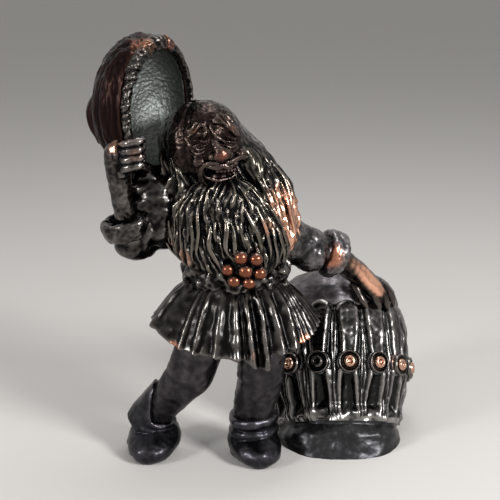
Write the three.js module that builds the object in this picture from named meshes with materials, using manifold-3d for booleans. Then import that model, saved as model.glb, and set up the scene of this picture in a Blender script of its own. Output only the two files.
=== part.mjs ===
// Cast-metal gnome: a long-bearded figure that lifts its hat with one hand and leans on a strapped keg with
// the other. The castings are pinned and soldered together and stand on two soles and the keg's foot.
// Millimetres, +Z up. The figure faces -Y, and its own right arm is on the -X side.

import * as THREE from "three";
import { mergeVertices } from "three/addons/utils/BufferGeometryUtils.js";
import Module from "manifold-3d";

const wasm = await Module();
wasm.setup();

// Joints between castings
const SEAT_GAP = 0.3; // left all round at each soldered seat
const DOWEL_RADIUS = 1.1;
const DOWEL_HALF_LENGTH = 3.6;

// Torso: an oval trunk that leans sideways as it rises from the waist
const WAIST = new THREE.Vector3(-4.3, 8, 58);
const LEAN_SIDEWAYS = 0.19; // sideways shift for each millimetre of height
const TORSO_HALF_WIDTH = 15.5;
const TORSO_HALF_DEPTH = 11;
const WAIST_HALF_WIDTH = 12.4; // where the trunk, the skirt's top and the sash meet
const WAIST_HALF_DEPTH = 9.5;
const TORSO_HEIGHT = 32; // waist to the top of the neck
const NECK_RADIUS = 5.5;
const WAIST_TENON = 5; // how far the trunk goes down into the skirt

// Head: a bald oval, turned and tilted, with a carved face
const HEAD_CENTRE = new THREE.Vector3(-11.6, 7, 97.4);
const HEAD_HALF = new THREE.Vector3(10.4, 11.4, 12.6);
const FACE_TURN = THREE.MathUtils.degToRad(17);
const HEAD_TILT = THREE.MathUtils.degToRad(-14);
const NOSE_RADIUS = 2.5;
const EYE_RADIUS = 2;
const BROW_RADIUS = 1.5;
const CHEEK_RADIUS = 3.1;

// Hair and beard: two fluted bells round the head and trunk
const HAIR_HALF_WIDTH = 20;
const HAIR_HALF_DEPTH = 12.8;
const HAIR_LOCKS = 16;
const BEARD_HALF_WIDTH = 16.4;
const BEARD_HALF_DEPTH = 9;
const BEARD_LOCKS = 13;
const LOCK_DEPTH = 0.75;
const MOUSTACHE_RADIUS = 1.7;

// Pleated skirt, sash and grape buckle
const SKIRT_HALF_WIDTH = 24.8;
const SKIRT_HALF_DEPTH = 19;
const SKIRT_DROP = 16.5; // waist to hem
const HEM_DIP = 7; // how much lower the hem hangs in front than at the sides
const HEM_TONGUE_ANGLE = THREE.MathUtils.degToRad(293); // where the hem hangs lowest
const PLEATS = 20;
const PLEAT_DEPTH = 1.3;
const SKIRT_RECESS = 2; // hollow under the hem
const SASH_RADIUS = 2.3;
const BERRY_RADIUS = 2.1;

// Legs and boots
const RIGHT_ANKLE = new THREE.Vector3(-29.2, 12, 12);
const LEFT_ANKLE = new THREE.Vector3(1, 8.8, 12);
const ANKLE_TENON = 7; // how far a leg goes down into its boot
const THIGH_RADIUS = 7.3;
const RIGHT_ANKLE_RADIUS = 5.2;
const LEFT_ANKLE_RADIUS = 5.9;
const BOOT_HALF_WIDTH = 7.9;
const BOOT_LENGTH = 20.5;
const BOOT_HEIGHT = 13.4;
const BOOT_WALL = 1.6; // leather outside the ankle
const BOOT_ROLL = 1.2; // how far each rolled fold stands out
const RIGHT_TOE_TURN = THREE.MathUtils.degToRad(-10);
const LEFT_TOE_TURN = THREE.MathUtils.degToRad(14);
const RIGHT_SHAFT_LEAN = THREE.MathUtils.degToRad(18); // the right boot follows its bent leg

// Arms: wide sleeves with turned cuffs, bare forearms and hands
const RIGHT_SHOULDER = new THREE.Vector3(-18.5, 11, 78);
const RIGHT_ELBOW = new THREE.Vector3(-33.6, 6.5, 69.4);
const LEFT_SHOULDER = new THREE.Vector3(8, 12, 69.4);
const LEFT_ELBOW = new THREE.Vector3(24, 19.5, 61.4);
const RIGHT_SLEEVE_RADIUS = 6.4;
const LEFT_SLEEVE_RADIUS = 5.1;
const CUFF_FLARE = 1.9; // how far a cuff stands out from its sleeve
const CUFF_WIDTH = 5.6;
const FOREARM_RADIUS = 3.5;
const FINGER_RADIUS = 1.25;
const FINGERS = 4;

// Hat: a deep felt bowl held by its rolled brim, its tip folded down behind
const HAT_CENTRE = new THREE.Vector3(-27.3, 12, 107.2);
const HAT_RADIUS = 16.9; // at its widest, behind the mouth
const HAT_STRETCH = 1.22; // taller than wide
const HAT_DEPTH = 16.8; // mouth to crown
const HAT_MOUTH = THREE.MathUtils.degToRad(112); // how far round from the crown the mouth lies
const HAT_WALL = 1.8;
const HAT_TURN = THREE.MathUtils.degToRad(34); // how far the mouth is turned from +X towards the viewer
const BRIM_RADIUS = 1.9;
const TIP_RADIUS = 3.5;
const GRIP_ANGLE = THREE.MathUtils.degToRad(-38); // where the hand holds the brim

// Keg: a bulged barrel that leans back on a foot cut flat to the ground. Heights run along its own axis
const KEG_FOOT = new THREE.Vector3(28.5, 26, 0);
const KEG_LEAN = THREE.MathUtils.degToRad(28);
const KEG_FOOT_RADIUS = 19;
const KEG_BULGE_RADIUS = 22.6;
const KEG_TOP_RADIUS = 20.4;
const KEG_FOOT_HEIGHT = 2.5;
const KEG_BODY_HEIGHT = 35;
const KEG_LID_RISE = 14.2;
const KEG_STRAPS = 15;
const STRAP_RISE = 0.9;
const STRAP_TURN = THREE.MathUtils.degToRad(5);
const STUD_HEIGHT = 19.5;
const STUD_RADIUS = 3.4;
const STUD_SHANK_RADIUS = 1.1;
const STUD_SHANK_LENGTH = 2.4;

const TAU = Math.PI * 2;
const X_AXIS = new THREE.Vector3(1, 0, 0);
const Y_AXIS = new THREE.Vector3(0, 1, 0);
const Z_AXIS = new THREE.Vector3(0, 0, 1);

const darkMetal = new THREE.MeshStandardMaterial({ color: 0x2b2624, roughness: 0.38, metalness: 1 });
const wornCopper = new THREE.MeshStandardMaterial({ color: 0xb06a44, roughness: 0.32, metalness: 1 });
const steelPin = new THREE.MeshStandardMaterial({ color: 0x8c8883, roughness: 0.5, metalness: 1 });

// A closed skin over `rings` rings of `sides` points, fanned to a pole at each end. place(ring, side) gives
// a point.
function skin(rings, sides, place) {
  const points = [];
  const faces = [];
  for (let i = 0; i < rings; i++) {
    for (let j = 0; j < sides; j++) {
      points.push(place(i, j));
    }
  }
  const middle = (i) =>
    points
      .slice(i * sides, (i + 1) * sides)
      .reduce((sum, p) => sum.add(p), new THREE.Vector3())
      .divideScalar(sides);
  const startPole = points.push(middle(0)) - 1;
  const endPole = points.push(middle(rings - 1)) - 1;
  for (let j = 0; j < sides; j++) {
    const next = (j + 1) % sides;
    const lastRing = (rings - 1) * sides;
    faces.push(startPole, next, j);
    faces.push(endPole, lastRing + j, lastRing + next);
    for (let i = 0; i < rings - 1; i++) {
      const low = i * sides;
      const high = low + sides;
      faces.push(low + j, low + next, high + j);
      faces.push(low + next, high + next, high + j);
    }
  }
  return new THREE.BufferGeometry().setFromPoints(points).setIndex(faces);
}

// An oval section swept along a smooth spine. A station is [x, y, z, half across, half deep]; the first half
// size lies along `across`, the second square to it and to the spine. relief adds to both. Level sections stay
// flat instead of turning with the spine.
function sweep(stations, options) {
  const { sides, steps, across = X_AXIS, relief = () => 0, level = false, grow = 0 } = options;
  const rises = stations[0][2] < stations[stations.length - 1][2];
  const spine = new THREE.CatmullRomCurve3(stations.map(([x, y, z]) => new THREE.Vector3(x, y, z)));
  const girth = new THREE.CatmullRomCurve3(stations.map((s) => new THREE.Vector3(s[3], s[4], 0)));
  return skin(steps + 1, sides, (i, j) => {
    const t = i / steps;
    const angle = (j / sides) * TAU;
    const along = level ? new THREE.Vector3(0, 0, rises ? 1 : -1) : spine.getTangent(t);
    const side = across.clone().addScaledVector(along, -across.dot(along)).normalize();
    const deep = new THREE.Vector3().crossVectors(along, side);
    const half = girth.getPoint(t);
    const extra = relief(t, angle) + grow;
    return spine
      .getPoint(t)
      .addScaledVector(along, grow * (2 * t - 1))
      .addScaledVector(side, (half.x + extra) * Math.cos(angle))
      .addScaledVector(deep, (half.y + extra) * Math.sin(angle));
  });
}

// A closed geometry as a solid that can be joined and cut.
function solid(geometry) {
  const bare = geometry.clone();
  bare.deleteAttribute("normal");
  bare.deleteAttribute("uv");
  const merged = mergeVertices(bare, 1e-4);
  return new wasm.Manifold(
    new wasm.Mesh({
      numProp: 3,
      vertProperties: merged.getAttribute("position").array,
      triVerts: new Uint32Array(merged.index.array),
    }),
  );
}

const join = (solids) => solids.reduce((sum, s) => sum.add(s));

// What is left of a casting once its neighbours' seats are cut out; loose chips are thrown away.
function cut(casting, ...tools) {
  const left = tools.reduce((rest, tool) => rest.subtract(tool), casting).decompose();
  return left.reduce((best, piece) => (piece.volume() > best.volume() ? piece : best));
}

function ball(centre, half, grow = 0, detail = 12) {
  const geometry = new THREE.SphereGeometry(1, detail, Math.ceil(detail * 0.6));
  geometry.scale(half.x + grow, half.y + grow, half.z + grow);
  return solid(geometry.translate(centre.x, centre.y, centre.z));
}

const evenBall = (centre, radius, grow = 0, detail = 10) =>
  ball(centre, new THREE.Vector3(radius, radius, radius), grow, detail);

// A revolved profile of [radius, height] points, turned so that its axis points along +Z.
function turned(profile, segments) {
  const points = profile.map(([radius, height]) => new THREE.Vector2(radius, height));
  return new THREE.LatheGeometry(points, segments).rotateX(Math.PI / 2);
}

// A matrix that carries +Z onto `axis` and the origin onto `at`.
function facing(at, axis) {
  const turn = new THREE.Quaternion().setFromUnitVectors(Z_AXIS, axis.clone().normalize());
  return new THREE.Matrix4().compose(at, turn, new THREE.Vector3(1, 1, 1));
}

// Ground plane: everything below z = 0 is cut away
const GROUND_SIZE = 400;
const slab = (middleZ) =>
  solid(new THREE.BoxGeometry(GROUND_SIZE, GROUND_SIZE, GROUND_SIZE).translate(0, 0, middleZ));
const ground = slab(-GROUND_SIZE / 2);

// Torso
const spineAt = (rise) => [WAIST.x - LEAN_SIDEWAYS * rise, WAIST.y, WAIST.z + rise];
const torsoForm = (grow = 0) =>
  solid(
    sweep(
      [
        [...spineAt(-WAIST_TENON), WAIST_HALF_WIDTH * 0.88, WAIST_HALF_DEPTH * 0.88],
        [...spineAt(0), WAIST_HALF_WIDTH, WAIST_HALF_DEPTH],
        [...spineAt(TORSO_HEIGHT * 0.25), TORSO_HALF_WIDTH * 0.97, TORSO_HALF_DEPTH],
        [...spineAt(TORSO_HEIGHT * 0.5), TORSO_HALF_WIDTH, TORSO_HALF_DEPTH],
        [...spineAt(TORSO_HEIGHT * 0.75), TORSO_HALF_WIDTH * 0.75, TORSO_HALF_DEPTH * 0.85],
        [...spineAt(TORSO_HEIGHT), NECK_RADIUS, NECK_RADIUS],
      ],
      { sides: 12, steps: 6, level: true, grow },
    ),
  );

// Head, in its own frame: +X to the viewer's right, -Y out of the face, +Z up, origin at the skull's centre
const headPlace = new THREE.Matrix4().compose(
  HEAD_CENTRE,
  new THREE.Quaternion().setFromEuler(new THREE.Euler(0, HEAD_TILT, FACE_TURN, "ZYX")),
  new THREE.Vector3(1, 1, 1),
);
const onHead = (geometry) => solid(geometry.applyMatrix4(headPlace));
const onSkull = (x, z, lift = 0) => {
  const share = Math.max(0.05, 1 - (x / HEAD_HALF.x) ** 2 - (z / HEAD_HALF.z) ** 2);
  return new THREE.Vector3(x, -HEAD_HALF.y * Math.sqrt(share) - lift, z);
};
const headBall = (centre, half, grow = 0, detail = 7) =>
  onHead(
    new THREE.SphereGeometry(1, detail, Math.ceil(detail * 0.6))
      .scale(half.x + grow, half.y + grow, half.z + grow)
      .translate(centre.x, centre.y, centre.z),
  );
const faceRoll = (path, radii, grow = 0) =>
  onHead(sweep(path.map((p, i) => [p.x, p.y, p.z, radii[i], radii[i]]), { sides: 5, steps: 4, grow }));
const skullForm = (grow = 0) => headBall(new THREE.Vector3(), HEAD_HALF, grow, 14);

const NOSE_AT = -1.6;
const EYE_AT = new THREE.Vector2(4.1, 2.4);
const MOUTH_AT = -6.6;
const noseForm = (grow) => {
  const bridge = [onSkull(0, 4.6, -0.4), onSkull(0, 1.6, 0.9), onSkull(0, NOSE_AT, 1.4)];
  const wing = new THREE.Vector3(1.4, 1.5, 1.2);
  return [
    faceRoll(bridge, [1, 1.4, NOSE_RADIUS * 0.8], grow),
    headBall(onSkull(0, NOSE_AT, 1.5), new THREE.Vector3(1, 1, 0.9).multiplyScalar(NOSE_RADIUS), grow, 8),
    headBall(onSkull(-NOSE_RADIUS * 0.8, NOSE_AT - 0.5, 0.5), wing, grow, 6),
    headBall(onSkull(NOSE_RADIUS * 0.8, NOSE_AT - 0.5, 0.5), wing, grow, 6),
  ];
};
const faceSide = (side, grow) => {
  const eye = onSkull(side * EYE_AT.x, EYE_AT.y, -EYE_RADIUS * 0.75);
  const brow = [onSkull(side * 1.6, 6.4, 0.5), onSkull(side * 4.4, 6, 0.7), onSkull(side * 7.2, 3, 0.3)];
  const cheek = onSkull(side * 5, -3.2, -CHEEK_RADIUS * 0.45);
  return [
    headBall(eye, new THREE.Vector3(1, 1, 0.85).multiplyScalar(EYE_RADIUS), grow),
    faceRoll(brow, [BROW_RADIUS * 0.8, BROW_RADIUS, BROW_RADIUS * 0.5], grow),
    headBall(cheek, new THREE.Vector3(1, 0.8, 0.75).multiplyScalar(CHEEK_RADIUS), grow),
  ];
};
const eyeSocket = (side) =>
  headBall(onSkull(side * EYE_AT.x, EYE_AT.y, 0.8), new THREE.Vector3(2.5, 1.8, 1.8));
const mouthHollow = headBall(onSkull(0, MOUTH_AT, 0.6), new THREE.Vector3(3.4, 1.7, 1.1));
const lipForm = (grow) => {
  const lip = [onSkull(-3.2, MOUTH_AT - 0.4), onSkull(0, MOUTH_AT - 1.7, 0.4), onSkull(3.2, MOUTH_AT - 0.4)];
  return faceRoll(lip, [0.5, 0.9, 0.5], grow);
};
const headForm = (grow = 0) => {
  const hollows = join([eyeSocket(-1), eyeSocket(1), mouthHollow]);
  const bare = grow > 0 ? skullForm(grow) : skullForm().subtract(hollows);
  return join([bare, ...faceSide(-1, grow), ...faceSide(1, grow), ...noseForm(grow), lipForm(grow)]);
};

// Hair and beard: bells whose locks are flutes that sway as they fall
const locks = (count, sway, onset) => (t, angle) =>
  LOCK_DEPTH * Math.min(1, t * onset) * Math.cos(count * angle + sway * Math.sin(angle * 3 + t * 4));
const HAIR_END = WAIST.z + 2 * SASH_RADIUS + SEAT_GAP;
const hairForm = (grow = 0) => {
  const station = (z, x, width, depth, y) => [x, y, z, HAIR_HALF_WIDTH * width, HAIR_HALF_DEPTH * depth];
  const crown = HEAD_CENTRE.z;
  return solid(
    sweep(
      [
        station(crown + 11.6, HEAD_CENTRE.x - 2, 0.12, 0.24, HEAD_CENTRE.y + 3.4),
        station(crown + 9.4, HEAD_CENTRE.x - 2.1, 0.36, 0.6, HEAD_CENTRE.y + 3.7),
        station(crown + 6, HEAD_CENTRE.x - 2.4, 0.53, 0.8, HEAD_CENTRE.y + 4),
        station(crown + 1, HEAD_CENTRE.x - 1.4, 0.68, 0.95, HEAD_CENTRE.y + 4),
        station(crown - 6, HEAD_CENTRE.x + 2.2, 0.82, 1, HEAD_CENTRE.y + 3.5),
        station(crown - 13, WAIST.x - 2.8, 0.92, 1, WAIST.y + 2),
        station(WAIST.z + 18, WAIST.x - 1.7, 0.98, 1, WAIST.y + 1.5),
        station(WAIST.z + 10, WAIST.x - 1.2, 0.97, 0.97, WAIST.y + 0.8),
        station(HAIR_END + 2.6, WAIST.x - 0.9, 0.86, 0.9, WAIST.y + 0.6),
        station(HAIR_END, WAIST.x - 0.7, 0.75, 0.84, WAIST.y + 0.5),
      ],
      { sides: HAIR_LOCKS * 3, steps: 9, level: true, grow, relief: locks(HAIR_LOCKS, 1.2, 2) },
    ),
  );
};
const beardMass = (options) => {
  const station = (z, x, width, depth, y) => [x, y, z, BEARD_HALF_WIDTH * width, BEARD_HALF_DEPTH * depth];
  const chin = HEAD_CENTRE.z - 8.8;
  return solid(
    sweep(
      [
        station(chin, HEAD_CENTRE.x + 4.2, 0.3, 0.27, HEAD_CENTRE.y - 5.2),
        station(chin - 2.4, HEAD_CENTRE.x + 4.2, 0.56, 0.56, HEAD_CENTRE.y - 5.6),
        station(chin - 6, HEAD_CENTRE.x + 4.4, 0.75, 0.78, HEAD_CENTRE.y - 5.3),
        station(WAIST.z + 21, WAIST.x - 2.6, 0.87, 0.91, WAIST.y - 5.8),
        station(WAIST.z + 14, WAIST.x - 1.6, 0.96, 1, WAIST.y - 5.6),
        station(WAIST.z + 9, WAIST.x - 0.8, 0.98, 1, WAIST.y - 5.4),
        station(WAIST.z + 4.5, WAIST.x - 0.2, 0.83, 0.88, WAIST.y - 5.2),
        station(WAIST.z + 1, WAIST.x + 0.3, 0.52, 0.62, WAIST.y - 5.2),
      ],
      { steps: 7, level: true, ...options },
    ),
  );
};
const beardForm = (grow = 0) =>
  beardMass({ sides: BEARD_LOCKS * 3, grow, relief: locks(BEARD_LOCKS, 1, 3) });
const beardSeat = (grow) => beardMass({ sides: 20, grow: grow + LOCK_DEPTH });
const moustacheForm = (side) =>
  faceRoll(
    [
      onSkull(side * 0.7, MOUTH_AT + 2.2, 0.9),
      onSkull(side * 3.4, MOUTH_AT + 1.6, 1),
      new THREE.Vector3(side * 5.6, -HEAD_HALF.y * (0.92 + side * 0.08), MOUTH_AT - 0.2),
      new THREE.Vector3(side * 6.8, -HEAD_HALF.y * (0.9 + side * 0.12), MOUTH_AT - 2.4),
    ],
    [MOUSTACHE_RADIUS * 0.7, MOUSTACHE_RADIUS, MOUSTACHE_RADIUS * 0.9, MOUSTACHE_RADIUS * 0.4],
  );

// Skirt: the outside falls from the waist to the hem in deepening pleats, the underside is a flat hollow
const SKIRT_SPREADS = [0, 0.28, 0.64, 1];
const SKIRT_FALLS = [0, 0.2, 0.56, 1];
const UNDERSIDE_SPREAD = 0.48;
const HIP_Z = WAIST.z - SKIRT_DROP + SKIRT_RECESS;
const PLEAT_SIDES = 3;
const skirtForm = () =>
  solid(
    skin(SKIRT_SPREADS.length + 1, PLEATS * PLEAT_SIDES, (ring, j) => {
      const angle = (j / (PLEATS * PLEAT_SIDES)) * TAU;
      const under = ring === 0;
      const step = SKIRT_SPREADS.length - ring;
      const spread = under ? UNDERSIDE_SPREAD : SKIRT_SPREADS[step];
      const fall = under ? 0 : SKIRT_FALLS[step];
      const front = Math.max(0, -Math.sin(angle));
      const tongue = Math.exp(-(((angle - HEM_TONGUE_ANGLE) / 0.35) ** 2));
      const depth = PLEAT_DEPTH * fall * (0.75 + 0.5 * front);
      const pleat = depth * Math.cos(PLEATS * angle + 0.8 * Math.sin(2 * angle));
      const dip = HEM_DIP * fall * fall * (front - 0.42 + 0.42 * tongue);
      const halfWidth = THREE.MathUtils.lerp(WAIST_HALF_WIDTH, SKIRT_HALF_WIDTH, spread) + pleat;
      const halfDepth = THREE.MathUtils.lerp(WAIST_HALF_DEPTH, SKIRT_HALF_DEPTH, spread) + pleat;
      return new THREE.Vector3(
        WAIST.x + halfWidth * Math.cos(angle),
        WAIST.y + halfDepth * Math.sin(angle),
        under ? HIP_Z : WAIST.z - SKIRT_DROP * fall - dip,
      );
    }),
  );

// Sash: a soft roll that lies on the skirt's top, with a knot at the side
const sashForm = (grow = 0) => {
  const halfWidth = WAIST_HALF_WIDTH + SASH_RADIUS * 0.4;
  const halfDepth = WAIST_HALF_DEPTH + SASH_RADIUS * 0.5;
  const roll = new THREE.TorusGeometry(1, (SASH_RADIUS + grow) / halfWidth, 6, 24);
  roll.scale(halfWidth, halfDepth, halfWidth);
  roll.translate(WAIST.x, WAIST.y, WAIST.z + SASH_RADIUS + SEAT_GAP);
  const knotAt = new THREE.Vector3(halfWidth * 0.9, -halfDepth * 0.6, SASH_RADIUS).add(WAIST);
  return solid(roll).add(ball(knotAt, new THREE.Vector3(2.8, 2.6, SASH_RADIUS), grow, 8));
};

// Grape buckle: rows of berries that run into each other
const BERRY_ROWS = [2, 3, 2];
const berryPlace = (row, k) => {
  const middle = k - (BERRY_ROWS[row] - 1) / 2;
  return new THREE.Vector3(
    WAIST.x + 1.8 + middle * BERRY_RADIUS * 1.75,
    WAIST.y - BEARD_HALF_DEPTH - 6.6 + row * 0.9 + 0.25 * middle ** 2,
    WAIST.z + 9.4 - row * BERRY_RADIUS * 1.4,
  );
};
const grapeForm = () =>
  join(
    BERRY_ROWS.flatMap((count, row) =>
      Array.from({ length: count }, (_, k) => evenBall(berryPlace(row, k), BERRY_RADIUS, 0, 6)),
    ),
  );

// Legs: from the skirt's hollow to the boots
const RIGHT_HIP = new THREE.Vector3(WAIST.x - 9.5, WAIST.y - 1, HIP_Z - SEAT_GAP);
const LEFT_HIP = new THREE.Vector3(WAIST.x + 8, WAIST.y - 2.6, HIP_Z - SEAT_GAP);
const legForm = (hip, ankle, ankleRadius, knee, grow = 0) => {
  const bent = new THREE.Vector3().lerpVectors(hip, ankle, 0.45).add(knee);
  const shin = new THREE.Vector3().lerpVectors(bent, ankle, 0.55);
  return solid(
    sweep(
      [
        [ankle.x, ankle.y, ankle.z - ANKLE_TENON, ankleRadius * 0.9, ankleRadius * 0.9],
        [ankle.x, ankle.y, ankle.z, ankleRadius, ankleRadius],
        [...shin, ankleRadius * 1.16, ankleRadius * 1.2],
        [...bent, THIGH_RADIUS * 0.93, THIGH_RADIUS * 0.93],
        [hip.x, hip.y, hip.z, THIGH_RADIUS, THIGH_RADIUS],
        [hip.x, hip.y, hip.z + 4, THIGH_RADIUS, THIGH_RADIUS],
      ],
      { sides: 10, steps: 7, grow },
    ),
  );
};
const RIGHT_KNEE_BEND = new THREE.Vector3(3.4, -3.5, 0);
const LEFT_KNEE_BEND = new THREE.Vector3(0.6, -1.6, 0);
const rightLegForm = (grow) => legForm(RIGHT_HIP, RIGHT_ANKLE, RIGHT_ANKLE_RADIUS, RIGHT_KNEE_BEND, grow);
const leftLegForm = (grow) => legForm(LEFT_HIP, LEFT_ANKLE, LEFT_ANKLE_RADIUS, LEFT_KNEE_BEND, grow);

// Boots: a foot swept from heel to toe, a short shaft, and a top rolled twice
const bootForm = (ankle, ankleRadius, turn, lean, grow = 0) => {
  const w = BOOT_HALF_WIDTH;
  const leather = ankleRadius + BOOT_WALL;
  const heel = BOOT_LENGTH * 0.36;
  const toe = BOOT_LENGTH - heel;
  const foot = sweep(
    [
      [0, heel, 4.6, w * 0.5, 4.6],
      [0, heel * 0.6, 5.2, w * 0.86, 6],
      [0, 0, 5, w, 6.6],
      [0, -toe * 0.45, 4.4, w, 5.4],
      [0, -toe * 0.82, 4, w * 0.84, 4.3],
      [0, -toe, 4, w * 0.42, 2.6],
    ],
    { sides: 10, steps: 6, grow },
  );
  const shaft = turned(
    [
      [0, 0.5 - grow],
      [leather + grow, 0.5 - grow],
      [leather + grow, BOOT_HEIGHT * 0.5],
      [leather + BOOT_ROLL + grow, BOOT_HEIGHT * 0.63],
      [leather + grow, BOOT_HEIGHT * 0.78],
      [leather + BOOT_ROLL + grow, BOOT_HEIGHT * 0.92],
      [ankleRadius + 1 + grow, BOOT_HEIGHT + grow],
      [0, BOOT_HEIGHT + grow],
    ],
    10,
  );
  const place = new THREE.Matrix4().makeRotationZ(turn).setPosition(ankle.x, ankle.y, 0);
  const shaftFoot = new THREE.Vector3(ankle.x - Math.tan(lean) * BOOT_HEIGHT * 0.75, ankle.y, 0);
  const shaftPlace = facing(shaftFoot, new THREE.Vector3(Math.tan(lean), 0, 1));
  return solid(foot.applyMatrix4(place)).add(solid(shaft.applyMatrix4(shaftPlace)));
};
const rightBootForm = (grow) =>
  bootForm(RIGHT_ANKLE, RIGHT_ANKLE_RADIUS, RIGHT_TOE_TURN, RIGHT_SHAFT_LEAN, grow);
const leftBootForm = (grow) => bootForm(LEFT_ANKLE, LEFT_ANKLE_RADIUS, LEFT_TOE_TURN, 0, grow);

// Hat, in its own frame: +Z out of the mouth, +X away from the viewer, +Y up
const hatOut = new THREE.Vector3(Math.cos(HAT_TURN), -Math.sin(HAT_TURN), 0);
const hatNear = new THREE.Vector3(-Math.sin(HAT_TURN), -Math.cos(HAT_TURN), 0);
const hatPlace = new THREE.Matrix4()
  .makeBasis(hatNear.clone().negate(), Z_AXIS, hatOut)
  .setPosition(HAT_CENTRE);
const hatStretch = new THREE.Matrix4().makeScale(1, HAT_STRETCH, 1);
const HAT_RINGS = 5;
const hatShellForm = (grow = 0) => {
  const halfDepth = HAT_DEPTH / (1 - Math.cos(HAT_MOUTH));
  const bowl = (inset) =>
    Array.from({ length: HAT_RINGS + 1 }, (_, i) => {
      const angle = (i / HAT_RINGS) * HAT_MOUTH;
      const behind = (halfDepth - inset) * (Math.cos(HAT_MOUTH) - Math.cos(angle));
      return [(HAT_RADIUS - inset) * Math.sin(angle), behind];
    });
  const outer = bowl(-grow);
  const inner = bowl(HAT_WALL + grow).reverse();
  return solid(turned([...outer, ...inner], 24).applyMatrix4(hatStretch).applyMatrix4(hatPlace));
};
const brimMiddle = (HAT_RADIUS - HAT_WALL / 2) * Math.sin(HAT_MOUTH);
const brimPoint = (angle) =>
  new THREE.Vector3(
    -brimMiddle * Math.cos(angle),
    brimMiddle * HAT_STRETCH * Math.sin(angle),
    BRIM_RADIUS * 0.8,
  ).applyMatrix4(hatPlace);
const brimForm = (grow = 0) => {
  const r = BRIM_RADIUS + grow;
  return solid(
    turned(
      [
        [brimMiddle - r * 0.6, SEAT_GAP - grow],
        [brimMiddle + r * 0.6, SEAT_GAP - grow],
        [brimMiddle + r, BRIM_RADIUS * 0.7],
        [brimMiddle + r * 0.75, BRIM_RADIUS * 1.5 + grow],
        [brimMiddle, BRIM_RADIUS * 1.9 + grow],
        [brimMiddle - r * 0.75, BRIM_RADIUS * 1.5 + grow],
        [brimMiddle - r, BRIM_RADIUS * 0.7],
        [brimMiddle - r * 0.6, SEAT_GAP - grow],
      ],
      24,
    )
      .applyMatrix4(hatStretch)
      .applyMatrix4(hatPlace),
  );
};
const tipForm = () => {
  const crown = HAT_CENTRE.clone().addScaledVector(hatOut, -HAT_DEPTH);
  const at = (out, near, up) =>
    [...crown.clone().addScaledVector(hatOut, out).addScaledVector(hatNear, near).setZ(crown.z + up)];
  return solid(
    sweep(
      [
        [...at(3, -1, 2), TIP_RADIUS, TIP_RADIUS],
        [...at(-2.4, 0.4, 0.4), TIP_RADIUS * 0.94, TIP_RADIUS * 0.94],
        [...at(-4.4, 1.6, -3), TIP_RADIUS * 0.82, TIP_RADIUS * 0.78],
        [...at(-3.6, 2.6, -7.5), TIP_RADIUS * 0.6, TIP_RADIUS * 0.54],
        [...at(-1.4, 3.2, -12), TIP_RADIUS * 0.22, TIP_RADIUS * 0.22],
      ],
      { sides: 8, steps: 6, across: hatNear },
    ),
  );
};

// Right arm: shoulder to elbow in a wide sleeve, then the forearm rises to the brim
const grip = brimPoint(GRIP_ANGLE);
const RIGHT_CUFF_AT = RIGHT_ELBOW.clone().add(new THREE.Vector3(-1.8, -1, 4.2));
const rightSleeveForm = (grow = 0) => {
  const r = RIGHT_SLEEVE_RADIUS;
  const drape = new THREE.Vector3().lerpVectors(RIGHT_SHOULDER, RIGHT_ELBOW, 0.6);
  drape.z += 5.8;
  const upper = [
    [...RIGHT_SHOULDER, r * 1.2, r * 1.4],
    [...RIGHT_ELBOW, r, r * 0.95],
  ];
  const lower = [
    [...RIGHT_ELBOW, r * 0.9, r * 0.9],
    [...RIGHT_CUFF_AT, r * 0.86, r * 0.86],
  ];
  return join([
    solid(sweep(upper, { sides: 10, steps: 3, across: Y_AXIS, grow })),
    solid(sweep(lower, { sides: 10, steps: 1, across: Y_AXIS, grow })),
    evenBall(RIGHT_ELBOW, r, grow, 10),
    ball(drape, new THREE.Vector3(r * 1.25, r * 1.1, r * 1.45), grow, 10),
  ]);
};
const rightWristAxis = new THREE.Vector3(-0.3, -0.15, 1).normalize();
const cuffForm = (at, axis, inside, grow = 0) =>
  solid(
    turned(
      [
        [inside - 1 - grow, -CUFF_WIDTH * 0.5 - grow],
        [inside + CUFF_FLARE * 0.5 + grow, -CUFF_WIDTH * 0.5 - grow],
        [inside + CUFF_FLARE + grow, -CUFF_WIDTH * 0.2],
        [inside + CUFF_FLARE * 1.1 + grow, CUFF_WIDTH * 0.25],
        [inside + CUFF_FLARE * 0.6 + grow, CUFF_WIDTH * 0.5 + grow],
        [inside - 1 - grow, CUFF_WIDTH * 0.42 + grow],
        [inside - 1 - grow, -CUFF_WIDTH * 0.5 - grow],
      ],
      12,
    ).applyMatrix4(facing(at, axis)),
  );
const rightCuffForm = (grow) => cuffForm(RIGHT_CUFF_AT, rightWristAxis, RIGHT_SLEEVE_RADIUS * 0.86, grow);
const fist = grip.clone().add(new THREE.Vector3(-4.6, 1.4, -1.4));
const rightForearmForm = (grow = 0) => {
  const r = FOREARM_RADIUS;
  const low = RIGHT_CUFF_AT.clone().addScaledVector(rightWristAxis, -1.2);
  const wrist = new THREE.Vector3().lerpVectors(low, fist, 0.5).add(new THREE.Vector3(-0.6, 0, 0));
  return solid(
    sweep(
      [
        [...low, r * 0.95, r * 0.95],
        [...wrist, r * 0.95, r * 0.95],
        [...fist, r * 1.2, r * 1.15],
        [...fist.clone().add(new THREE.Vector3(0.5, -0.1, 5)), r * 0.7, r * 0.6],
      ],
      { sides: 8, steps: 6, across: Y_AXIS, grow },
    ),
  );
};
const fingerPitch = FINGER_RADIUS * 1.85;
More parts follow.
